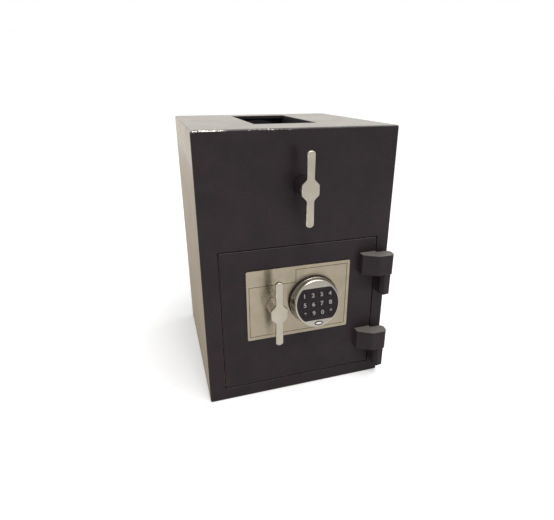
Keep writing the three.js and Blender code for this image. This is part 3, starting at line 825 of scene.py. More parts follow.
LEGEND_INK = Moulded(
    "legend_ink",
    Slot.KEY_RUBBER,
    dark=(0.225, 0.212, 0.22),
    light=(0.29, 0.276, 0.285),
    roughness=0.6,
    gloss=0.2,
)
SLOT_FINISHES = {
    finish.slot.value: finish
    for finish in (
        CHARCOAL_ENAMEL,
        INSIDE_AND_GAP_SHADE_ENAMEL,
        BRUSHED_STAINLESS,
        SATIN_NICKEL,
        POLISHED_CHROME,
        MATT_BLACK,
        KEY_BLACK,
        ZINC_PLATE,
        SINTERED_BRONZE,
    )
}


# Mesh tools


def low_high(*nodes: str) -> tuple[Vector, Vector]:
    """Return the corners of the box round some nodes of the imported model.

    Args:
        *nodes: Names of nodes.

    Returns:
        The lowest and the highest corner.
    """
    boxes = [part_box(node) for node in nodes]
    low = Vector([min(box[0][axis] for box in boxes) for axis in range(3)])
    high = Vector([max(box[1][axis] for box in boxes) for axis in range(3)])
    return low, high


def middle_of(node: str) -> Vector:
    """Return the middle of the box round a node."""
    low, high = low_high(node)
    return (low + high) / 2


def radius_of(node: str) -> float:
    """Return half the width of a node along X."""
    low, high = low_high(node)
    return (high.x - low.x) / 2


def edges_of(faces: Iterable[BMFace]) -> list[BMEdge]:
    """Return the edges of some faces, each once, in the order of the faces."""
    return list(dict.fromkeys(edge for face in faces for edge in face.edges))


def verts_of(faces: Iterable[BMFace]) -> list[BMVert]:
    """Return the corners of some faces, each once."""
    return list(dict.fromkeys(vert for face in faces for vert in face.verts))


def sharp_edges(bm: BMesh, angle: float = SHARP_ANGLE) -> list[BMEdge]:
    """Return the edges where two faces meet at more than an angle."""
    return [edge for edge in bm.edges if edge.is_manifold and edge.calc_face_angle(0.0) > angle]


def edges_at(edges: Iterable[BMEdge], level: float) -> list[BMEdge]:
    """Return the edges that lie at a level along Y."""
    return [edge for edge in edges if all(abs(vert.co.y - level) < WELD for vert in edge.verts)]


def edges_along(edges: Iterable[BMEdge], axis: Axis, least: float = WELD) -> list[BMEdge]:
    """Return the edges that reach further than a length along an axis."""
    index = axis.value
    return [edge for edge in edges if abs(edge.verts[0].co[index] - edge.verts[1].co[index]) > least]


def add_object(name: str, data: ID) -> Object:
    """Add an object to the scene.

    Args:
        name: Name of the object.
        data: Its mesh, curve, light or camera.

    Returns:
        The object.
    """
    added = bpy.data.objects.new(name, data)
    bpy.context.scene.collection.objects.link(added)
    return added


def add_block(bm: BMesh, low: Vector, high: Vector) -> None:
    """Add a block between two corners."""
    size = Matrix.Diagonal((*(high - low), 1.0))
    bmesh.ops.create_cube(bm, size=1.0, matrix=Matrix.Translation((low + high) / 2) @ size)


def round_edges(
    bm: BMesh,
    edges: Iterable[BMEdge],
    radius: float,
    steps: int = 3,
    worn: float = USUAL_WEAR,
    clamp: bool = True,
) -> None:
    """Round some edges, and mark how much the rounded strip wears.

    Args:
        bm: Mesh that holds the edges.
        edges: The edges.
        radius: Radius of the rounding.
        steps: Faces across the rounding.
        worn: How much the strip wears, from 0 to 1.
        clamp: Whether the radius shrinks where short edges leave no room.
    """
    bmesh.ops.recalc_face_normals(bm, faces=bm.faces)
    kept = list(edges)
    layer = bm.verts.layers.float.get(EDGE_LAYER) or bm.verts.layers.float.new(EDGE_LAYER)
    made = bmesh.ops.bevel(
        bm,
        geom=kept,
        offset=radius,
        offset_type="OFFSET",
        segments=steps,
        profile=CIRCLE_PROFILE,
        affect="EDGES",
        material=-1,
        clamp_overlap=clamp,
    )
    strip = set(made["faces"])
    for vert in made["verts"]:
        if vert.is_valid and all(face in strip for face in vert.link_faces):
            vert[layer] = worn


def rounded_block(low: Vector, high: Vector, corner: float, rim: float, steps: tuple[int, int]) -> BMesh:
    """Make a block with rounded corners, and a rounded rim round its front.

    Args:
        low: Lowest corner.
        high: Highest corner.
        corner: Radius of the four edges that run from front to back.
        rim: Radius of the front's rim.
        steps: Faces across a corner and across the rim.

    Returns:
        The block's mesh.
    """
    bm = bmesh.new()
    add_block(bm, low, high)
    round_edges(bm, edges_along(bm.edges, Axis.Y), corner, steps[0], worn=0.0)
    round_edges(bm, edges_at(sharp_edges(bm), low.y), rim, steps[1], worn=0.0)
    return bm


def flat_faces(bm: BMesh, axis: Axis, level: float, low: Vector, high: Vector) -> list[BMFace]:
    """Return the flat faces at a level that reach into a window.

    Args:
        bm: The mesh.
        axis: Direction that the faces look along.
        level: Their place along that direction.
        low: Lowest corner of the window.
        high: Highest corner of the window.

    Returns:
        The faces.
    """
    found = []
    across = [other.value for other in Axis if other is not axis]
    for face in bm.faces:
        if any(abs(vert.co[axis.value] - level) > WELD for vert in face.verts):
            continue
        spans = [[vert.co[index] for vert in face.verts] for index in across]
        if all(
            min(span) < high[index] - WELD and max(span) > low[index] + WELD
            for span, index in zip(spans, across)
        ):
            found.append(face)
    return found


def slice_faces(bm: BMesh, faces: Sequence[BMFace], axis: Axis, place: float) -> None:
    """Cut faces by a plane.

    Args:
        bm: The mesh.
        faces: The faces.
        axis: Direction that the plane looks along.
        place: The plane's place along that direction.
    """
    bmesh.ops.bisect_plane(
        bm,
        geom=[*faces, *edges_of(faces), *verts_of(faces)],
        dist=WELD,
        plane_co=axis.vector * place,
        plane_no=axis.vector,
    )


def open_window(bm: BMesh, axis: Axis, level: float, low: Vector, high: Vector) -> list[BMEdge]:
    """Cut a rectangular window in the flat faces at a level.

    Args:
        bm: The mesh.
        axis: Direction that the faces look along.
        level: Their place along that direction.
        low: Lowest corner of the window.
        high: Highest corner of the window.

    Returns:
        The window's rim.
    """
    for direction in Axis:
        if direction is axis:
            continue
        for place in (low[direction.value], high[direction.value]):
            slice_faces(bm, flat_faces(bm, axis, level, low, high), direction, place)
    middle = set(flat_faces(bm, axis, level, low, high))
    rim = [edge for edge in edges_of(middle) if sum(face in middle for face in edge.link_faces) == 1]
    bmesh.ops.delete(bm, geom=list(middle), context="FACES")
    return rim


def paint_inside_and_gap_shade(
    bm: BMesh,
    low: Vector,
    high: Vector,
    depth: float,
    axes: Iterable[Axis] = Axis,
    slant: float = 0.05,
) -> None:
    """Give material 1, the duller inside paint, to the faces that do not look outward from the surface of a
    box; on the door's sides and the opening's walls it paints the gap's shade.

    Args:
        bm: The mesh.
        low: Lowest corner of the box.
        high: Highest corner of the box.
        depth: How far under the surface a rounded edge reaches.
        axes: Directions in which the box has outer faces.
        slant: Least share of a face's normal that has to look outward.
    """
    bmesh.ops.recalc_face_normals(bm, faces=bm.faces)
    for face in bm.faces:
        middle = face.calc_center_median()
        outward = any(
            face.normal[axis.value] * side > slant and abs(middle[axis.value] - corner[axis.value]) < depth
            for axis in axes
            for side, corner in ((-1.0, low), (1.0, high))
        )
        if not outward:
            face.material_index = 1


def cut_through(bm: BMesh, axis: Axis, levels: Span, low: Vector, high: Vector) -> list[BMEdge]:
    """Cut a rectangular hole through a wall.

    Args:
        bm: The mesh.
        axis: Direction through the wall.
        levels: Places of the wall's two faces.
        low: Lowest corner of the hole.
        high: Highest corner of the hole.

    Returns:
        The rim at the first face.
    """
    rims = [open_window(bm, axis, level, low, high) for level in levels]
    bmesh.ops.bridge_loops(bm, edges=rims[0] + rims[1])
    return rims[0]


def drill(
    bm: BMesh,
    axis: Axis,
    levels: Span,
    centre: Vector,
    radius: float,
    cuts: int = 11,
    room: float = 1.35,
) -> None:
    """Drill a round hole through a wall.

    Args:
        bm: The mesh.
        axis: Direction through the wall.
        levels: Places of the wall's two faces.
        centre: Middle of the hole.
        radius: Radius of the hole.
        cuts: Cuts in each side of the square that surrounds the hole.
        room: Half the square's width, as a share of the radius.
    """
    reach = ALL_WAYS * radius * room
    rings = []
    for level in levels:
        point = centre.copy()
        point[axis.value] = level
        square = open_window(bm, axis, level, centre - reach, centre + reach)
        split = bmesh.ops.subdivide_edges(bm, edges=square, cuts=cuts)["geom_split"]
        sides = [part for part in split if isinstance(part, BMEdge) and part.is_boundary]
        made = bmesh.ops.extrude_edge_only(bm, edges=sides)["geom"]
        around = {part for part in made if isinstance(part, BMVert)}
        for vert in around:
            vert.co = point + (vert.co - point).normalized() * radius
        rings.append([part for part in made if isinstance(part, BMEdge) and around.issuperset(part.verts)])
    bmesh.ops.bridge_loops(bm, edges=rings[0] + rings[1])


def drill_for_spindle(bm: BMesh, low: Vector, high: Vector) -> None:
    """Drill the lower handle's spindle hole through a plate of the door."""
    radius = SPINDLE_RADIUS + TURNING_GAP
    drill(bm, Axis.Y, (low.y, high.y), middle_of("lower_handle_spindle"), radius)


def press(bm: BMesh, faces: Iterable[BMFace], shift: Vector) -> list[BMVert]:
    """Move some faces off their place and wall them in.

    Args:
        bm: The mesh.
        faces: The faces.
        shift: Way that they go.

    Returns:
        The moved corners.
    """
    before = list(faces)
    made = bmesh.ops.extrude_face_region(bm, geom=before)["geom"]
    moved = [part for part in made if isinstance(part, BMVert)]
    bmesh.ops.translate(bm, verts=moved, vec=shift)
    left = [face for face in before if face.is_valid]
    bmesh.ops.delete(bm, geom=left, context="FACES_ONLY")
    return moved


def thicken(bm: BMesh, shift: float) -> None:
    """Make a flat outline a solid, up to its copy a shift away along Y.

    Args:
        bm: Mesh that holds only the outline's faces.
        shift: How far away the copy is.
    """
    made = bmesh.ops.extrude_face_region(bm, geom=list(bm.faces), use_keep_orig=True)
    moved = [part for part in made["geom"] if isinstance(part, BMVert)]
    bmesh.ops.translate(bm, verts=moved, vec=Axis.Y.vector * shift)


def join(bm: BMesh, other: BMesh) -> list[BMFace]:
    """Add another mesh to a mesh.

    Args:
        bm: Mesh to add to.
        other: The other mesh, which is used up.

    Returns:
        The faces that were added.
    """
    old = set(bm.faces)
    mesh = bpy.data.meshes.new("joined")
    other.to_mesh(mesh)
    other.free()
    bm.from_mesh(mesh)
    bpy.data.meshes.remove(mesh)
    return [face for face in bm.faces if face not in old]


def barrel(radius: float, edge: float, start: float, end: float) -> Profile:
    """Return the profile of a round bar's side, with a bevel at both ends."""
    return [(radius - edge, start), (radius, start + edge), (radius, end - edge), (radius - edge, end)]


def quarter_arc(inner: float, start: float, size: float, steps: int) -> Profile:
    """Return the profile of a rounded end, from its flat front to its side.

    Args:
        inner: Radius at which the flat front ends.
        start: Place of the front.
        size: Radius of the rounding.
        steps: Faces across the rounding.

    Returns:
        The profile's corners.
    """
    turns = [QUARTER_TURN * step / steps for step in range(steps + 1)]
    return [(inner + size * math.sin(turn), start + size - size * math.cos(turn)) for turn in turns]


def turned(profile: Profile, axis: Axis, centre: Vector, steps: int = 64) -> BMesh:
    """Turn a profile round an axis.

    Args:
        profile: Radius and place along the axis of each corner, from one end to the other.
        axis: Axis of the turn.
        centre: A point on the axis.
        steps: Faces round the turn.

    Returns:
        The turned mesh.
    """
    bm = bmesh.new()
    side = Axis.Z if axis is not Axis.Z else Axis.X
    base = centre.copy()
    base[axis.value] = 0.0
    verts = [bm.verts.new(base + side.vector * radius + axis.vector * place) for radius, place in profile]
    edges = [bm.edges.new(pair) for pair in zip(verts, verts[1:])]
    bmesh.ops.spin(
        bm,
        geom=verts + edges,
        cent=base,
        axis=axis.vector,
        angle=math.tau,
        steps=steps,
        use_merge=True,
    )
    bmesh.ops.remove_doubles(bm, verts=bm.verts, dist=WELD)
    bmesh.ops.dissolve_degenerate(bm, edges=bm.edges, dist=WELD)
    return bm


def copied(node: str) -> BMesh:
    """Copy the mesh of a node, with its flat faces whole.

    Args:
        node: Name of the node.

    Returns:
        The copy.
    """
    bm = bmesh.new()
    bm.from_mesh(frame["nodes"][node].data)
    bmesh.ops.remove_doubles(bm, verts=bm.verts, dist=WELD)
    bmesh.ops.dissolve_limit(bm, angle_limit=FLAT_ANGLE, verts=bm.verts, edges=bm.edges)
    return bm


def new_piece(
    name: str,
    bm: BMesh,
    finishes: Sequence[Finish],
    body: str,
    stands_for: Sequence[str] = (),
) -> None:
    """Make a mesh a piece of the safe.

    Args:
        name: Name of the piece.
        bm: Its mesh, which is used up.
        finishes: Finishes in the order of the mesh's material numbers.
        body: Body that it moves with.
        stands_for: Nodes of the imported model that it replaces.
    """
    bmesh.ops.dissolve_degenerate(bm, edges=bm.edges, dist=WELD)
    bmesh.ops.delete(bm, geom=[edge for edge in bm.edges if edge.is_wire], context="EDGES")
    bmesh.ops.recalc_face_normals(bm, faces=bm.faces)
    for face in bm.faces:
        face.smooth = True
    for edge in bm.edges:
        edge.smooth = not (edge.is_manifold and edge.calc_face_angle(0.0) > SHADING_ANGLE)
    mesh = bpy.data.meshes.new(name)
    bm.to_mesh(mesh)
    bm.free()
    for finish in finishes:
        mesh.materials.append(finish.material())
    piece = add_object(name, mesh)
    shading = piece.modifiers.new("even_shading", "WEIGHTED_NORMAL")
    shading.keep_sharp = True
    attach(piece, body)
    if stands_for:
        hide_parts(*stands_for)
    log.info("piece %s rides on %s, %d faces", name, body, len(mesh.polygons))


def replace_node(node: str, bm: BMesh, finishes: Sequence[Finish], body: str) -> None:
    """Make a mesh the piece that stands for one node."""
    new_piece(node + "_shape", bm, finishes, body, [node])


def add_softened(node: str, finish: Finish, body: Body, radius: float) -> None:
    """Replace a node by its copy with rounded edges.

    Args:
        node: Name of the node.
        finish: Finish of the copy.
        body: Body that it moves with.
        radius: Radius of the rounding.
    """
    bm = copied(node)
    round_edges(bm, sharp_edges(bm), radius, steps=2)
    replace_node(node, bm, [finish], body.value)


# Sub-assemblies


@dataclass
class Cabinet:
    """The welded box, with its door opening, deposit hole and the bars behind the front."""

    plate: float = 6 * MM
    edge_radius: float = 3.5 * MM
    door_gap: float = 2 * MM
    drum_overlap: float = 2 * MM
    opening_edge: float = 0.5 * MM
    hole_edge: float = 1.0 * MM
    bar_edge: float = 0.5 * MM
    edge_wear: float = 0.6
    left_wear_and_highlight: float = 0.91
    right_wear_and_highlight: float = 0.57
    walls: tuple[str, ...] = (
        "side_left",
        "side_right",
        "bottom_plate",
        "top_plate",
        "back_plate",
        "front_plate",
    )
    bars: tuple[str, ...] = ("door_stop_top", "door_stop_bottom")

    def shell(self) -> BMesh:
        """Weld the six plates into one shell.

        Returns:
            The shell's mesh.
        """
        low, high = low_high(*self.walls)
        inner_low = low + ALL_WAYS * self.plate
        inner_high = high - ALL_WAYS * self.plate
        bm = bmesh.new()
        add_block(bm, low, high)
        round_edges(bm, list(bm.edges), self.edge_radius, steps=5, worn=self.edge_wear)
        add_block(bm, inner_low, inner_high)

        gap = ACROSS_FRONT * self.door_gap
        door_low, door_high = low_high("door_plate")
        fronts = (low.y, inner_low.y)
        door_rim = cut_through(bm, Axis.Y, fronts, door_low - gap, door_high + gap)

        half = -low_high("hopper_liner_left")[1].x
        front = low_high("drum_end_front")[1].y + self.drum_overlap
        back = low_high("drum_end_rear")[0].y - self.drum_overlap
        tops = (high.z, inner_high.z)
        hole_rim = cut_through(bm, Axis.Z, tops, Vector((-half, front, 0)), Vector((half, back, 0)))

        boss = "upper_handle_boss"
        drill(bm, Axis.Y, fronts, middle_of(boss), radius_of(boss) + TURNING_GAP)
        round_edges(bm, door_rim, self.opening_edge, steps=2, worn=0.0)
        round_edges(bm, hole_rim, self.hole_edge)
        # Worn specks along the front's top edge, strongest at the left, are partly real wear and partly a
        # painted highlight.
        self.spread_wear_and_highlight(bm, low, high)
        # The inside walls get their real inside paint; the door opening's walls get it as painted gap
        # shade.
        paint_inside_and_gap_shade(bm, low, high, self.edge_radius)
        return bm

    def spread_wear_and_highlight(self, bm: BMesh, low: Vector, high: Vector) -> None:
        """Let the front's top edge wear most at its left end, where its bright bare specks also paint the
        highlight that the rounded edge catches.

        Args:
            bm: The shell's mesh.
            low: Lowest corner of the cabinet.
            high: Highest corner of the cabinet.
        """
        layer = bm.verts.layers.float[EDGE_LAYER]
        reach = 2 * self.edge_radius
        for axis, place in ((Axis.Y, low.y + reach), (Axis.Z, high.z - reach)):
            slice_faces(bm, list(bm.faces), axis, place)
        for vert in bm.verts:
            if vert[layer] and vert.co.y < low.y + reach - WELD and vert.co.z > high.z - reach + WELD:
                way = (vert.co.x - low.x) / (high.x - low.x)
                vert[layer] = self.left_wear_and_highlight + way * (self.right_wear_and_highlight - self.left_wear_and_highlight)

    def build(self) -> None:
        """Add the cabinet's pieces."""
        paints = [CHARCOAL_ENAMEL, INSIDE_AND_GAP_SHADE_ENAMEL]
        new_piece("cabinet_shell", self.shell(), paints, Body.CABINET.value, self.walls)
        for bar in self.bars:
            add_softened(bar, INSIDE_AND_GAP_SHADE_ENAMEL, Body.CABINET, self.bar_edge)
        add_softened("bolt_keeper", ZINC_PLATE, Body.CABINET, self.bar_edge)


@dataclass
class Hinge:
    """One outside hinge: the cabinet's knuckle and the door's block, cast with soft upright corners."""

    place: str
    edge: float = 0.9 * MM
    ridge: float = 3.5 * MM
    ridge_angle: float = math.radians(33)
    corner: float = 1.6 * MM
    foot: float = 8 * MM
    steps: int = 5

    def casting(self, node: str) -> BMesh:
        """Copy a node and round its upright corners, then its rims.

        Args:
            node: Name of the node.

        Returns:
            The copy.
        """
        bm = copied(node)
        foot_front = low_high(node)[1].y - self.foot
        tall = edges_along(sharp_edges(bm), Axis.Z, self.foot)
        corners = [edge for edge in tall if edge.verts[0].co.y < foot_front]
        ridges = []
        if "block" in node:
            ridges = [edge for edge in corners if edge.calc_face_angle(0.0) < self.ridge_angle]
        corners = [edge for edge in corners if edge not in ridges]
        round_edges(bm, corners, self.corner, self.steps, worn=0.0)
        ridges = [edge for edge in ridges if edge.is_valid]
        round_edges(bm, ridges, self.ridge, self.steps, worn=0.0)
        round_edges(bm, sharp_edges(bm), self.edge)
        return bm

    def build(self) -> None:
        """Add the hinge's pieces."""
        for part, body in (("hinge_knuckle_", Body.CABINET), ("hinge_block_", Body.DOOR)):
            node = part + self.place
            replace_node(node, self.casting(node), [CHARCOAL_ENAMEL], body.value)


@dataclass
class TeeHandle:
    """A cast T-handle with an eight-sided hub and two flared arms, upright at rest."""

    node: str
    body: Body
    length: float = 123 * MM
    tip_width: float = 13.6 * MM
    root_width: float = 12.8 * MM
    tip_rise: float = 4 * MM
    hub_width: float = 30 * MM
    hub_side: float = 16.8 * MM
    corner: float = 2 * MM
    edge: float = 1.9 * MM
    tip_steps: int = 6

    def outline(self) -> BMesh:
        """Draw the handle's outline.

        Returns:
            A mesh with the outline as one flat face, in X and Z round the origin.
        """
        bm = bmesh.new()
        tip, root = self.tip_width / 2, self.root_width / 2
        hub, side = self.hub_width / 2, self.hub_side / 2
        arm_end = self.length / 2 - self.tip_rise
        corners = [(hub, 0.0), (hub, side), (root, side + hub - root), (tip, arm_end)]
        verts = [bm.verts.new((x, 0.0, z)) for x, z in corners]
        for pair in zip(verts, verts[1:]):
            bm.edges.new(pair)
        radius = (tip**2 + self.tip_rise**2) / (2 * self.tip_rise)
        bmesh.ops.spin(
            bm,
            geom=[verts[-1]],
            cent=(0.0, 0.0, self.length / 2 - radius),
            axis=-Axis.Y.vector,
            angle=math.asin(tip / radius),
            steps=self.tip_steps,
        )
        for direction in "XZ":
            bmesh.ops.mirror(bm, geom=[*bm.verts, *bm.edges], axis=direction, merge_dist=WELD)
        bmesh.ops.remove_doubles(bm, verts=bm.verts, dist=WELD)
        bmesh.ops.contextual_create(bm, geom=bm.edges)
        return bm

    def build(self) -> None:
        """Add the handle."""
        low, high = low_high(self.node)
        bm = self.outline()
        thicken(bm, high.y - low.y)
        middle = middle_of(self.node)
        bmesh.ops.translate(bm, verts=bm.verts, vec=(middle.x, low.y, middle.z))
        bmesh.ops.recalc_face_normals(bm, faces=bm.faces)
        uprights = [
            edge
            for edge in edges_along(sharp_edges(bm), Axis.Y)
            if abs(edge.verts[0].co.z - middle.z) < self.hub_width
        ]
        round_edges(bm, uprights, self.corner, worn=0.0)
        rims = edges_at(bm.edges, low.y) + edges_at(bm.edges, high.y)
        round_edges(bm, rims, self.edge, steps=4, clamp=False)
        replace_node(self.node, bm, [SATIN_NICKEL], self.body.value)


@dataclass
class Hopper:
    """The turning drum with its trough, shaft, stop arm and upper handle."""

    handle: TeeHandle = field(default_factory=lambda: TeeHandle("upper_t_handle", Body.HOPPER))
    mouth_half_angle: float = math.radians(45)
    skin: float = 2.5 * MM
    edge: float = 0.4 * MM
    boss_edge: float = 1.2 * MM
    steps: int = 72
    softened_parts: tuple[tuple[str, Finish, Body], ...] = (
        ("deposit_trough", INSIDE_AND_GAP_SHADE_ENAMEL, Body.HOPPER),
        ("drum_end_front", INSIDE_AND_GAP_SHADE_ENAMEL, Body.HOPPER),
        ("drum_end_rear", INSIDE_AND_GAP_SHADE_ENAMEL, Body.HOPPER),
        ("stop_arm", ZINC_PLATE, Body.HOPPER),
        ("handle_stop", ZINC_PLATE, Body.CABINET),
        ("hopper_liner_left", INSIDE_AND_GAP_SHADE_ENAMEL, Body.CABINET),
        ("hopper_liner_right", INSIDE_AND_GAP_SHADE_ENAMEL, Body.CABINET),
        ("hopper_plate_front", INSIDE_AND_GAP_SHADE_ENAMEL, Body.CABINET),
        ("hopper_plate_rear", INSIDE_AND_GAP_SHADE_ENAMEL, Body.CABINET),
    )

    def drum_skin(self) -> BMesh:
        """Roll the drum's skin, open at the mouth.

        Returns:
            The skin's mesh.
        """
        low, high = low_high("drum_skin")
        centre = middle_of("drum_end_front")
        centre.y = 0.0
        radius = radius_of("drum_end_front")
        start = Matrix.Rotation(self.mouth_half_angle, 4, "Y")
        section = [
            (radius - self.skin, low.y),
            (radius, low.y),
            (radius, high.y),
            (radius - self.skin, high.y),
        ]
        bm = bmesh.new()
        verts = [bm.verts.new(start @ Vector((0.0, y, reach))) for reach, y in section]
        face = bm.faces.new(verts)
        bmesh.ops.translate(bm, verts=bm.verts, vec=centre)
        bmesh.ops.spin(
            bm,
            geom=[face, *face.edges, *face.verts],
            cent=centre,
            axis=Axis.Y.vector,
            angle=math.tau - 2 * self.mouth_half_angle,
            steps=self.steps,
        )
        bmesh.ops.recalc_face_normals(bm, faces=bm.faces)
        round_edges(bm, sharp_edges(bm), self.edge, steps=2, worn=0.0)
        return bm

    def boss(self) -> BMesh:
        """Turn the black sleeve behind the upper handle.

        Returns:
            The sleeve's mesh.
        """
        node = "upper_handle_boss"
        low, high = low_high(node)
        inner = radius_of("hopper_shaft") + SEAT_GAP
        side = barrel(radius_of(node), self.boss_edge, low.y, high.y)
        return turned([(inner, low.y), *side, (inner, high.y), (inner, low.y)], Axis.Y, middle_of(node))

    def build(self) -> None:
        """Add the hopper's pieces."""
        hopper = Body.HOPPER.value
        replace_node("drum_skin", self.drum_skin(), [INSIDE_AND_GAP_SHADE_ENAMEL], hopper)
        new_piece("upper_handle_sleeve", self.boss(), [SLEEVE_BLACK], hopper, ["upper_handle_boss"])
        for node, finish, body in self.softened_parts:
            add_softened(node, finish, body, self.edge)
        self.handle.build()


@dataclass
class LockPlate:
    """The brushed plate under the handle and the keypad, with an engraved border."""

    corner_radius: float = 3 * MM
    edge: float = 0.3 * MM
    steps: tuple[int, int] = (6, 2)
    line_width: float = 1.1 * MM
    line_depth: float = 0.25 * MM
    border_left: float = 94.2 * MM
    border_right: float = 93.0 * MM
    border_bottom: float = 63.0 * MM
    border_top: float = 63.5 * MM
    notch_right: float = 7.7 * MM
    notch_bottom: float = 38.7 * MM

    def build(self) -> None:
        """Add the plate."""
        low, high = low_high("lock_plate")
        bm = rounded_block(low, high, self.corner_radius, self.edge, self.steps)
        self.engrave(bm, low, high)
        drill_for_spindle(bm, low, high)
        replace_node("lock_plate", bm, [BRUSHED_STAINLESS, ENGRAVED_LINE], Body.DOOR.value)

    def engrave(self, bm: BMesh, low: Vector, high: Vector) -> None:
        """Sink the border line into the plate's face.

        Args:
            bm: The plate's mesh.
            low: Lowest corner of the plate.
            high: Highest corner of the plate.
        """
        middle = (low + high) / 2
        left, right = middle.x - self.border_left, middle.x + self.border_right
        bottom, top = middle.z - self.border_bottom, middle.z + self.border_top
        notch_x, notch_z = middle.x - self.notch_right, middle.z + self.notch_bottom
        cuts = [(Axis.X, place) for place in (left, notch_x, right)]
        cuts += [(Axis.Z, place) for place in (bottom, notch_z, top)]
        for axis, place in cuts:
            slice_faces(bm, flat_faces(bm, Axis.Y, low.y, low, high), axis, place)
        inside = []
        for face in flat_faces(bm, Axis.Y, low.y, low, high):
            spot = face.calc_center_median()
            framed = left < spot.x < right and bottom < spot.z < top
            if framed and not (spot.x < notch_x and spot.z > notch_z):
                inside.append(face)
        ring = bmesh.ops.inset_region(
            bm,
            faces=inside,
            thickness=self.line_width,
            depth=0.0,
            use_boundary=True,
            use_even_offset=True,
        )["faces"]
        sunk = set(press(bm, ring, Axis.Y.vector * self.line_depth))
        for face in bm.faces:
            if not sunk.isdisjoint(face.verts):
                face.material_index = 1


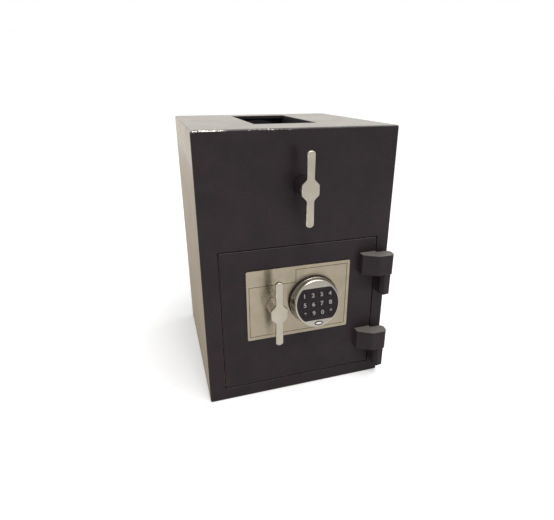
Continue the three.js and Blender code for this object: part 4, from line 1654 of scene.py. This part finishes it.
@dataclass
class Keypad:
    """The round keypad: gasket, housing with a leaning face, twelve keys and a bare oval badge.

    The pieces of the face are made upright, and then leaned back as their nodes are.
    """

    around: int = 96
    rim_width: float = 3.55 * MM
    rim_radius: float = 3.3 * MM
    rim_steps: int = 6
    foot_height: float = 3 * MM
    foot_step: float = 0.4 * MM
    recess_depth: float = 4 * MM
    recess_corner: float = 2.2 * MM
    corner_steps: int = 4
    gasket_trim: float = 1.2 * MM
    face_edge: float = 0.35 * MM
    mouth_edge: float = 0.2 * MM
    window_edge: float = 0.15 * MM
    key_corner: float = 1.5 * MM
    key_edge: float = 0.45 * MM
    key_steps: tuple[int, int] = (4, 3)
    post_angle: float = math.radians(80)
    post_margin: float = 1 * MM
    digit_height: float = 8 * MM
    star_height: float = 3.8 * MM
    hash_height: float = 4.8 * MM
    digit_lift: float = 0.4 * MM
    sign_lift: float = 2.2 * MM
    legend_rise: float = 0.06 * MM
    legend_weight: float = 0.2 * MM
    legend_weights: dict[str, float] = field(
        default_factory=lambda: {"4": 0.1 * MM, "star": 0.05 * MM, "hash": 0.05 * MM}
    )
    legend_width: float = 1.15
    legend_steps: int = 4
    badge_width: float = 16 * MM
    badge_height: float = 7.8 * MM
    badge_steps: int = 48
    badge_rise: float = 0.7 * MM
    badge_border: float = 1.5 * MM
    badge_step: float = 0.25 * MM
    badge_shift: float = -0.2 * MM
    badge_drop: float = 36 * MM
    legends: dict[str, str] = field(
        default_factory=lambda: {**{digit: digit for digit in "1234567890"}, "star": "*", "hash": "#"}
    )

    @property
    def lean(self) -> float:
        """Read how far the face leans back from the way that the keys go in.

        Returns:
            The angle.
        """
        joints = {joint["name"]: joint for joint in frame["record"]["behaviour"]["joints"]}
        way = joints["key_1_press"]["axis"]
        return math.atan2(-way[2], way[1])

    @property
    def leaning(self) -> Matrix:
        """Return the turn that leans an upright piece back."""
        return Matrix.Rotation(-self.lean, 4, "X")

    def upright_box(self, node: str) -> tuple[Vector, Vector]:
        """Return the corners of a leaning node's box once it is turned upright.

        Args:
            node: Name of the node.

        Returns:
            The lowest and the highest corner.
        """
        upright = self.leaning.inverted()
        places = [upright @ vert.co for vert in frame["nodes"][node].data.vertices]
        low = Vector([min(place[axis] for place in places) for axis in range(3)])
        high = Vector([max(place[axis] for place in places) for axis in range(3)])
        return low, high

    def leaned(self, bm: BMesh) -> BMesh:
        """Lean an upright mesh back.

        Args:
            bm: The mesh.

        Returns:
            The same mesh.
        """
        bmesh.ops.transform(bm, matrix=self.leaning, verts=bm.verts)
        return bm

    def face_disc(self, radius: float, half: float, front: float, centre: Vector) -> BMesh:
        """Draw a disc with its top and bottom cut straight.

        Args:
            radius: Radius of the disc.
            half: Height of the cuts above and below the middle.
            front: Place of the disc.
            centre: Middle of the disc.

        Returns:
            A mesh with the disc as one flat face.
        """
        bm = bmesh.new()
        middle = Vector((centre.x, front, centre.z))
        matrix = Matrix.Translation(middle) @ Axis.Y.turn
        bmesh.ops.create_circle(bm, cap_ends=True, segments=self.around, radius=radius, matrix=matrix)
        for side in (Axis.Z.vector, -Axis.Z.vector):
            bmesh.ops.bisect_plane(
                bm,
                geom=[*bm.verts, *bm.edges, *bm.faces],
                dist=WELD,
                plane_co=middle + side * half,
                plane_no=side,
                clear_outer=True,
            )
        corners = [
            vert
            for vert in bm.verts
            if abs(abs(vert.co.z - centre.z) - half) < WELD
            and abs((vert.co - middle).length - radius) < SEAT_GAP
        ]
        self.clear_room(bm, corners)
        bmesh.ops.bevel(
            bm,
            geom=corners,
            offset=self.recess_corner,
            affect="VERTICES",
            segments=self.corner_steps,
            profile=CIRCLE_PROFILE,
            material=-1,
        )
        return bm

    def clear_room(self, bm: BMesh, corners: Sequence[BMVert]) -> None:
        """Dissolve the points that crowd some corners, so that these have room to be rounded.

        Args:
            bm: The mesh.
            corners: The corners that stay.
        """
        room = self.recess_corner + SEAT_GAP
        crowding = [
            vert
            for vert in bm.verts
            if vert not in corners and any((vert.co - corner.co).length < room for corner in corners)
        ]
        bmesh.ops.dissolve_verts(bm, verts=crowding)

    def skewed_shell(self, centre: Vector, level: float, face_radius: float) -> BMesh:
        """Return the housing's outside, open at the face: its front leans, and its foot stands flat.

        Args:
            centre: Middle of the face, once it is turned upright.
            level: Place of the face, once it is turned upright.
            face_radius: Radius of the opening.

        Returns:
            The shell, turned so that its face is upright.
        """
        high = low_high("keypad_housing")[1]
        outer = radius_of("keypad_housing")
        seat = middle_of("keypad_gasket")
        middle = self.leaning @ Vector((centre.x, level, centre.z))
        rim = self.rim_radius
        foot = high.y - self.foot_height
        profile = [
            *quarter_arc(face_radius + self.rim_width - rim, middle.y, rim, self.rim_steps),
            (outer - self.foot_step, foot),
            (outer, foot + self.foot_step),
            (outer, high.y),
            (0.0, high.y),
        ]
        bm = turned(profile, Axis.Y, seat, self.around)
        rim_back = middle.y + rim
        for vert in bm.verts:
            share = min(max((foot - vert.co.y) / (foot - rim_back), 0.0), 1.0)
            vert.co.y += share * (vert.co.z - seat.z) * math.tan(self.lean)
            vert.co.z += share * (middle.z - seat.z)
        bmesh.ops.transform(bm, matrix=self.leaning.inverted(), verts=bm.verts)
        return bm

    def housing(self) -> BMesh:
        """Make the housing with the recess for the face.

        Returns:
            The housing's mesh.
        """
        face_low, face_high = self.upright_box("keypad_face")
        level = self.upright_box("keypad_housing")[0].y
        centre = (face_low + face_high) / 2
        centre.y = level
        half = (face_high.z - face_low.z) / 2 + SEAT_GAP
        opening = (face_high.x - face_low.x) / 2 + SEAT_GAP
        bm = self.skewed_shell(centre, level, opening)
        disc = join(bm, self.face_disc(opening, half, level, centre))
        loops = [edge for edge in bm.edges if edge.is_boundary]
        bmesh.ops.triangle_fill(bm, edges=loops, use_beauty=True)
        bmesh.ops.recalc_face_normals(bm, faces=bm.faces)
        press(bm, disc, Axis.Y.vector * self.recess_depth)
        reach = opening + self.post_margin
        mouth = [
            edge
            for edge in sharp_edges(bm)
            if all(
                abs(vert.co.y - level) < 2 * WELD and (vert.co - centre).xz.length < reach
                for vert in edge.verts
            )
        ]
        round_edges(bm, mouth, self.mouth_edge, steps=2, worn=0.0, clamp=False)
        return self.leaned(bm)

    def face_plate(self) -> BMesh:
        """Make the black face with its twelve windows.

        Returns:
            The face's mesh.
        """
        low, high = self.upright_box("keypad_face")
        centre = (low + high) / 2
        thickness = high.y - low.y
        radius, half = (high.x - low.x) / 2, (high.z - low.z) / 2
        bm = self.face_disc(radius, half, low.y, centre)
        thicken(bm, thickness)
        gap = ACROSS_FRONT * SEAT_GAP
        for name in self.legends:
            key_low, key_high = self.upright_box("key_" + name)
            cut_through(bm, Axis.Y, (low.y, high.y), key_low - gap, key_high + gap)
        bmesh.ops.recalc_face_normals(bm, faces=bm.faces)
        posts = [
            edge
            for edge in edges_along(sharp_edges(bm, self.post_angle), Axis.Y, thickness / 2)
            if (edge.verts[0].co - centre).xz.length < radius - self.post_margin
            and abs(edge.verts[0].co.z - centre.z) < half - self.post_margin
        ]
        round_edges(bm, posts, self.key_corner + SEAT_GAP, steps=4, worn=0.0)
        round_edges(bm, edges_at(sharp_edges(bm), low.y), self.window_edge, steps=1, worn=0.0)
        return self.leaned(bm)

    def key(self, name: str) -> BMesh:
        """Return one key with its raised legend.

        Args:
            name: Name of the key.

        Returns:
            The key's mesh, with the legend in material 1.
        """
        low, high = self.upright_box("key_" + name)
        bm = rounded_block(low, high, self.key_corner, self.key_edge, self.key_steps)
        self.add_legend(bm, name, Vector(((low.x + high.x) / 2, low.y, (low.z + high.z) / 2)))
        bmesh.ops.dissolve_degenerate(bm, edges=bm.edges, dist=WELD)
        return self.leaned(bm)

    def add_legend(self, bm: BMesh, name: str, middle: Vector) -> None:
        """Add a key's digit or sign, as material 1.

        Args:
            bm: The key's mesh.
            name: Name of the key.
            middle: Middle of the key's front.
        """
        height = {"star": self.star_height, "hash": self.hash_height}.get(name, self.digit_height)
        lift = self.digit_lift if name.isdigit() else self.sign_lift
        text = bpy.data.curves.new("legend_" + name, "FONT")
        text.body = self.legends[name]
        text.size = height
        text.extrude = self.legend_rise
        text.offset = self.legend_weights.get(name, self.legend_weight)
        text.resolution_u = self.legend_steps
        draft = add_object("legend_" + name, text)
        bpy.context.view_layer.update()
        mesh = bpy.data.meshes.new_from_object(draft)
        bpy.data.objects.remove(draft)
        letters = bmesh.new()
        letters.from_mesh(mesh)
        bmesh.ops.remove_doubles(letters, verts=letters.verts, dist=WELD)
        spans = [[vert.co[axis] for vert in letters.verts] for axis in (0, 1)]
        grow = height / (max(spans[1]) - min(spans[1]))
        fit = Matrix.Diagonal((grow * self.legend_width, grow, 1.0, 1.0))
        shift = Vector([-(min(span) + max(span)) / 2 for span in spans] + [0.0])
        upright = Matrix.Rotation(QUARTER_TURN, 4, "X")
        stand = Matrix.Translation(middle + Axis.Z.vector * lift) @ upright
        bmesh.ops.transform(letters, matrix=stand @ fit @ Matrix.Translation(shift), verts=letters.verts)
        for face in letters.faces:
            face.material_index = 1
        bpy.data.meshes.remove(mesh)
        join(bm, letters)

    def badge(self) -> BMesh:
        """Make the bare oval badge on the housing's lower rim.

        Returns:
            The badge's mesh, with its border in material 1.
        """
        level = self.upright_box("keypad_housing")[0].y
        low, high = self.upright_box("keypad_face")
        middle = (low + high) / 2
        spot = Vector((middle.x + self.badge_shift, level, middle.z - self.badge_drop))
        bm = bmesh.new()
        shape = Matrix.Diagonal((self.badge_width / 2, 1.0, self.badge_height / 2, 1.0))
        matrix = Matrix.Translation(spot) @ shape @ Axis.Y.turn
        bmesh.ops.create_circle(bm, cap_ends=True, segments=self.badge_steps, radius=1.0, matrix=matrix)
        thicken(bm, -self.badge_rise)
        bmesh.ops.recalc_face_normals(bm, faces=bm.faces)
        top = level - self.badge_rise
        front = [face for face in bm.faces if abs(face.calc_center_median().y - top) < WELD]
        for face in bm.faces:
            face.material_index = 1
        for width, rise in ((self.badge_border, 0.0), (self.badge_step, -self.badge_step)):
            bmesh.ops.inset_region(bm, faces=front, thickness=width, depth=rise, use_even_offset=True)
        for face in front:
            face.material_index = 0
        return self.leaned(bm)

    def gasket(self) -> BMesh:
        """Turn the black gasket behind the housing.

        Returns:
            The gasket's mesh.
        """
        node = "keypad_gasket"
        low, high = low_high(node)
        side = barrel(radius_of(node) - self.gasket_trim, self.face_edge, low.y, high.y)
        return turned([(0.0, low.y), *side, (0.0, high.y)], Axis.Y, middle_of(node), self.around)

    def build(self) -> None:
        """Add the keypad's pieces."""
        door = Body.DOOR.value
        replace_node("keypad_gasket", self.gasket(), [MATT_BLACK], door)
        replace_node("keypad_housing", self.housing(), [SATIN_CHROME], door)
        replace_node("keypad_face", self.face_plate(), [MATT_BLACK], door)
        new_piece("keypad_badge", self.badge(), [POLISHED_CHROME, MATT_BLACK], door)
        for name in self.legends:
            replace_node("key_" + name, self.key(name), [KEY_BLACK, LEGEND_INK], "button_" + name)


@dataclass
class LowerHandle:
    """The lower T-handle with its turned boss, spindle and crank."""

    handle: TeeHandle = field(default_factory=lambda: TeeHandle("lower_t_handle", Body.HANDLE))
    boss_edge: float = 1.0 * MM
    crank_edge: float = 0.5 * MM

    def boss(self) -> BMesh:
        """Turn the chrome boss with its spindle.

        Returns:
            The boss's mesh.
        """
        node = "lower_handle_spindle"
        low, high = low_high(node)
        plate_front = low_high("lock_plate")[0].y - SEAT_GAP
        profile = [
            (0.0, low.y),
            *barrel(radius_of(node), self.boss_edge, low.y, plate_front),
            (SPINDLE_RADIUS, plate_front),
            (SPINDLE_RADIUS, high.y),
            (0.0, high.y),
        ]
        return turned(profile, Axis.Y, middle_of(node))

    def build(self) -> None:
        """Add the lower handle's pieces."""
        stands_for = ["lower_handle_spindle"]
        new_piece("lower_handle_boss", self.boss(), [POLISHED_CHROME], Body.HANDLE.value, stands_for)
        add_softened("bolt_crank", ZINC_PLATE, Body.HANDLE, self.crank_edge)
        self.handle.build()


@dataclass
class Door:
    """The door leaf with its lock plate."""

    edge: float = 0.8 * MM
    plate: LockPlate = field(default_factory=LockPlate)

    def leaf(self) -> BMesh:
        """Make the door leaf with its spindle hole.

        Returns:
            The leaf's mesh.
        """
        low, high = low_high("door_plate")
        bm = bmesh.new()
        add_block(bm, low, high)
        round_edges(bm, list(bm.edges), self.edge)
        drill_for_spindle(bm, low, high)
        # The door's sides get the inside paint, which paints the shade in the gap round the door.
        paint_inside_and_gap_shade(bm, low, high, self.edge, [Axis.Y])
        return bm

    def build(self) -> None:
        """Add the door's pieces."""
        paints = [CHARCOAL_ENAMEL, INSIDE_AND_GAP_SHADE_ENAMEL]
        new_piece("door_leaf", self.leaf(), paints, Body.DOOR.value, ["door_plate"])
        self.plate.build()


@dataclass
class Boltwork:
    """The bolts, their carriage and guide, and the lock case, on the back of the door."""

    bolt_nose: float = 2.5 * MM
    nose_steps: int = 5
    edge: float = 0.5 * MM
    screw_radius: float = 4 * MM
    screw_rise: float = 2 * MM
    screw_edge: float = 0.4 * MM
    screw_inset: float = 7 * MM
    screw_gap: float = 0.02 * MM
    socket_radius: float = 1.7 * MM
    socket_floor: float = 0.8 * MM
    screw_steps: int = 24
    softened_parts: tuple[tuple[str, Finish, Body], ...] = (
        ("bolt_carriage", ZINC_PLATE, Body.CARRIAGE),
        ("carriage_stud_upper", ZINC_PLATE, Body.DOOR),
        ("carriage_stud_lower", ZINC_PLATE, Body.DOOR),
        ("bolt_guide", ZINC_PLATE, Body.DOOR),
        ("dead_bar", ZINC_PLATE, Body.DOOR),
        ("lock_case", ZINC_PLATE, Body.DOOR),
        ("lock_bolt", SINTERED_BRONZE, Body.DEADLOCK),
    )

    def bolt(self, node: str) -> BMesh:
        """Return one locking bolt with a rounded nose.

        Args:
            node: Name of the bolt's node.

        Returns:
            The bolt's mesh.
        """
        low, high = low_high(node)
        radius = (high.z - low.z) / 2
        profile = [
            (0.0, low.x),
            *quarter_arc(radius - self.bolt_nose, low.x, self.bolt_nose, self.nose_steps),
            (radius, high.x - self.edge),
            (radius - self.edge, high.x),
            (0.0, high.x),
        ]
        return turned(profile, Axis.X, (low + high) / 2)

    def screws(self) -> BMesh:
        """Make the four socket screws that hold the lock case.

        Returns:
            The screws' mesh.
        """
        low, high = low_high("lock_case")
        bm = bmesh.new()
        for x in (low.x + self.screw_inset, high.x - self.screw_inset):
            for z in (low.z + self.screw_inset, high.z - self.screw_inset):
                self.add_screw(bm, Vector((x, high.y + self.screw_gap, z)))
        return bm

    def add_screw(self, bm: BMesh, seat: Vector) -> None:
        """Add a cap screw that looks to the back.

        Args:
            bm: Mesh to add to.
            seat: Middle of its seat.
        """
        rise = self.screw_rise
        profile = [
            (0.0, 0.0),
            (self.screw_radius, 0.0),
            (self.screw_radius, rise - self.screw_edge),
            (self.screw_radius - self.screw_edge, rise),
            (self.socket_radius, rise),
            (self.socket_radius, self.socket_floor),
            (0.0, self.socket_floor),
        ]
        lifted = [(radius, seat.y + place) for radius, place in profile]
        join(bm, turned(lifted, Axis.Y, seat, self.screw_steps))

    def build(self) -> None:
        """Add the boltwork's pieces."""
        for place in ("upper", "lower"):
            node = "locking_bolt_" + place
            replace_node(node, self.bolt(node), [POLISHED_CHROME], Body.CARRIAGE.value)
        for node, finish, body in self.softened_parts:
            add_softened(node, finish, body, self.edge)
        new_piece("lock_case_screws", self.screws(), [ZINC_PLATE], Body.DOOR.value)


def dress_frame_nodes() -> None:
    """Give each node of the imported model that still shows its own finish."""
    slots = {part["node"]: part["material_slot"] for part in frame["record"]["subparts"]}
    for name, node in frame["nodes"].items():
        if node.hide_render:
            continue
        finish = SLOT_FINISHES[slots[name]]
        for slot in node.material_slots:
            slot.link = "OBJECT"
            slot.material = finish.material()
        log.info("node %s keeps its shape, in %s", name, finish.name)


# Studio


@dataclass
class Camera:
    """The photograph's viewpoint, as fitted to the cabinet, the door and the deposit hole."""

    location: tuple[float, float, float] = (-0.2282, -0.8101, 0.5598)
    azimuth: float = math.radians(17.42)
    dip: float = math.radians(21.37)
    roll: float = -0.00206
    sensor: float = 36.0
    lens: float = 26.87
    shift: tuple[float, float] = (-0.0149, -0.0207)
    nearest: float = 0.01

    def build(self) -> None:
        """Add the camera and make it the scene's."""
        forward = Vector(
            (
                math.sin(self.azimuth) * math.cos(self.dip),
                math.cos(self.azimuth) * math.cos(self.dip),
                -math.sin(self.dip),
            )
        )
        right = forward.cross(Vector((0, 0, 1))).normalized()
        up = right.cross(forward)
        turned_right = right * math.cos(self.roll) - up * math.sin(self.roll)
        turned_up = up * math.cos(self.roll) + right * math.sin(self.roll)
        data = bpy.data.cameras.new("camera")
        data.sensor_width = self.sensor
        data.lens = self.lens
        data.shift_x, data.shift_y = self.shift
        data.clip_start = self.nearest
        camera = add_object("camera", data)
        basis = Matrix((turned_right, turned_up, -forward)).transposed().to_4x4()
        camera.matrix_world = Matrix.Translation(self.location) @ basis
        bpy.context.scene.camera = camera


def aimed_lamp(name: str, kind: str, power: float, place: Vector, aim: Vector) -> Light:
    """Add a lamp that looks at a point.

    Args:
        name: Name of the lamp.
        kind: Blender's name of the kind of lamp.
        power: Its power.
        place: Where it stands.
        aim: Point that it looks at.

    Returns:
        The lamp's data.
    """
    data = bpy.data.lights.new(name, kind)
    data.energy = power
    lamp = add_object(name, data)
    lamp.location = place
    lamp.rotation_euler = (aim - place).to_track_quat("-Z", "Y").to_euler()
    return data


@dataclass
class Lamp:
    """One soft lamp of the studio."""

    name: str
    place: tuple[float, float, float]
    size: float
    power: float
    tint: Colour = (1.0, 1.0, 1.0)

    def build(self, aim: Vector) -> None:
        """Add the lamp.

        Args:
            aim: Point that it looks at.
        """
        data = aimed_lamp(self.name, "AREA", self.power, Vector(self.place), aim)
        data.size = self.size
        data.color = self.tint


@dataclass
class Studio:
    """A pale floor, a white background and soft light."""

    floor_reach: float = 30.0
    floor_colour: Colour = (0.8, 0.8, 0.8)
    floor_glow: float = 0.3
    floor_drop: float = 0.3 * MM
    floor_roughness: float = 1.0
    white: Colour = (1.0, 1.0, 1.0)
    world_light: float = 0.5
    world_seen: float = 1.0
    sun_power: float = 1.6
    sun_angle: float = math.radians(50)
    sun_from: tuple[float, float, float] = (0.25, -0.45, 1.0)
    lamps: tuple[Lamp, ...] = (
        Lamp("key_lamp", (-0.12, -1.05, 1.75), 0.4, 9.0, (1.0, 0.97, 0.92)),
        Lamp("top_lamp", (0.1, -0.1, 2.0), 0.35, 3.0),
        Lamp("rim_lamp", (1.2, 0.4, 1.6), 0.9, 5.0),
    )

    def build(self) -> None:
        """Add the floor, the world and the lamps."""
        self.add_floor()
        self.add_world()
        sun = aimed_lamp("sun_lamp", "SUN", self.sun_power, Vector(self.sun_from), Vector())
        sun.angle = self.sun_angle
        low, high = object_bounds()
        for lamp in self.lamps:
            lamp.build((low + high) / 2)
        bpy.context.scene.view_settings.view_transform = "Standard"

    def seen_directly(self, graph: Graph) -> NodeSocket:
        """Return a mask of the rays that see the background itself.

        Args:
            graph: Node tree of the floor or the world.

        Returns:
            1 for camera, glossy and transmission rays.
        """
        path = graph.add("ShaderNodeLightPath")
        mirrored = graph.math("MAXIMUM", path.outputs["Is Glossy Ray"], path.outputs["Is Transmission Ray"])
        return graph.math("MAXIMUM", path.outputs["Is Camera Ray"], mirrored)

    def add_floor(self) -> None:
        """Add the floor, which keeps the safe's shadow."""
        bm = bmesh.new()
        bmesh.ops.create_grid(bm, x_segments=1, y_segments=1, size=self.floor_reach)
        bmesh.ops.translate(bm, verts=bm.verts, vec=(0.0, 0.0, -self.floor_drop))
        mesh = bpy.data.meshes.new("floor")
        bm.to_mesh(mesh)
        bm.free()
        material = bpy.data.materials.new("pale_floor")
        material.use_nodes = True
        graph = Graph(material.node_tree)
        values = {
            "Base Color": opaque(self.floor_colour),
            "Roughness": self.floor_roughness,
            "Specular IOR Level": 0.0,
            "Emission Color": opaque(self.white),
            "Emission Strength": graph.times(self.seen_directly(graph), self.floor_glow),
        }
        graph.wire(graph.tree.nodes["Principled BSDF"], values)
        mesh.materials.append(material)
        add_object("floor", mesh)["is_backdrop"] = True

    def add_world(self) -> None:
        """Add the world: white where it is seen, and a plain level as light."""
        world = bpy.data.worlds.new("studio")
        world.use_nodes = True
        graph = Graph(world.node_tree)
        graph.tree.nodes.clear()
        output = graph.add("ShaderNodeOutputWorld")
        mixed = graph.add("ShaderNodeMixShader")
        graph.feed(mixed.inputs[0], self.seen_directly(graph))
        for socket, strength in zip(mixed.inputs[1:], (self.world_light, self.world_seen)):
            level = graph.add("ShaderNodeBackground")
            graph.wire(level, {"Color": opaque(self.white), "Strength": strength})
            graph.feed(socket, level.outputs["Background"])
        graph.feed(output.inputs["Surface"], mixed.outputs["Shader"])
        bpy.context.scene.world = world


def main() -> None:
    """Build the safe's pieces, then the studio."""
    logging.basicConfig(level=logging.INFO, format="%(message)s")
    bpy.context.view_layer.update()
    Camera().build()
    hinges = (Hinge("upper"), Hinge("lower"))
    for part in (Cabinet(), *hinges, Hopper(), Door(), Keypad(), LowerHandle(), Boltwork()):
        part.build()
    dress_frame_nodes()
    Studio().build()


if __name__ == "__main__":
    main()
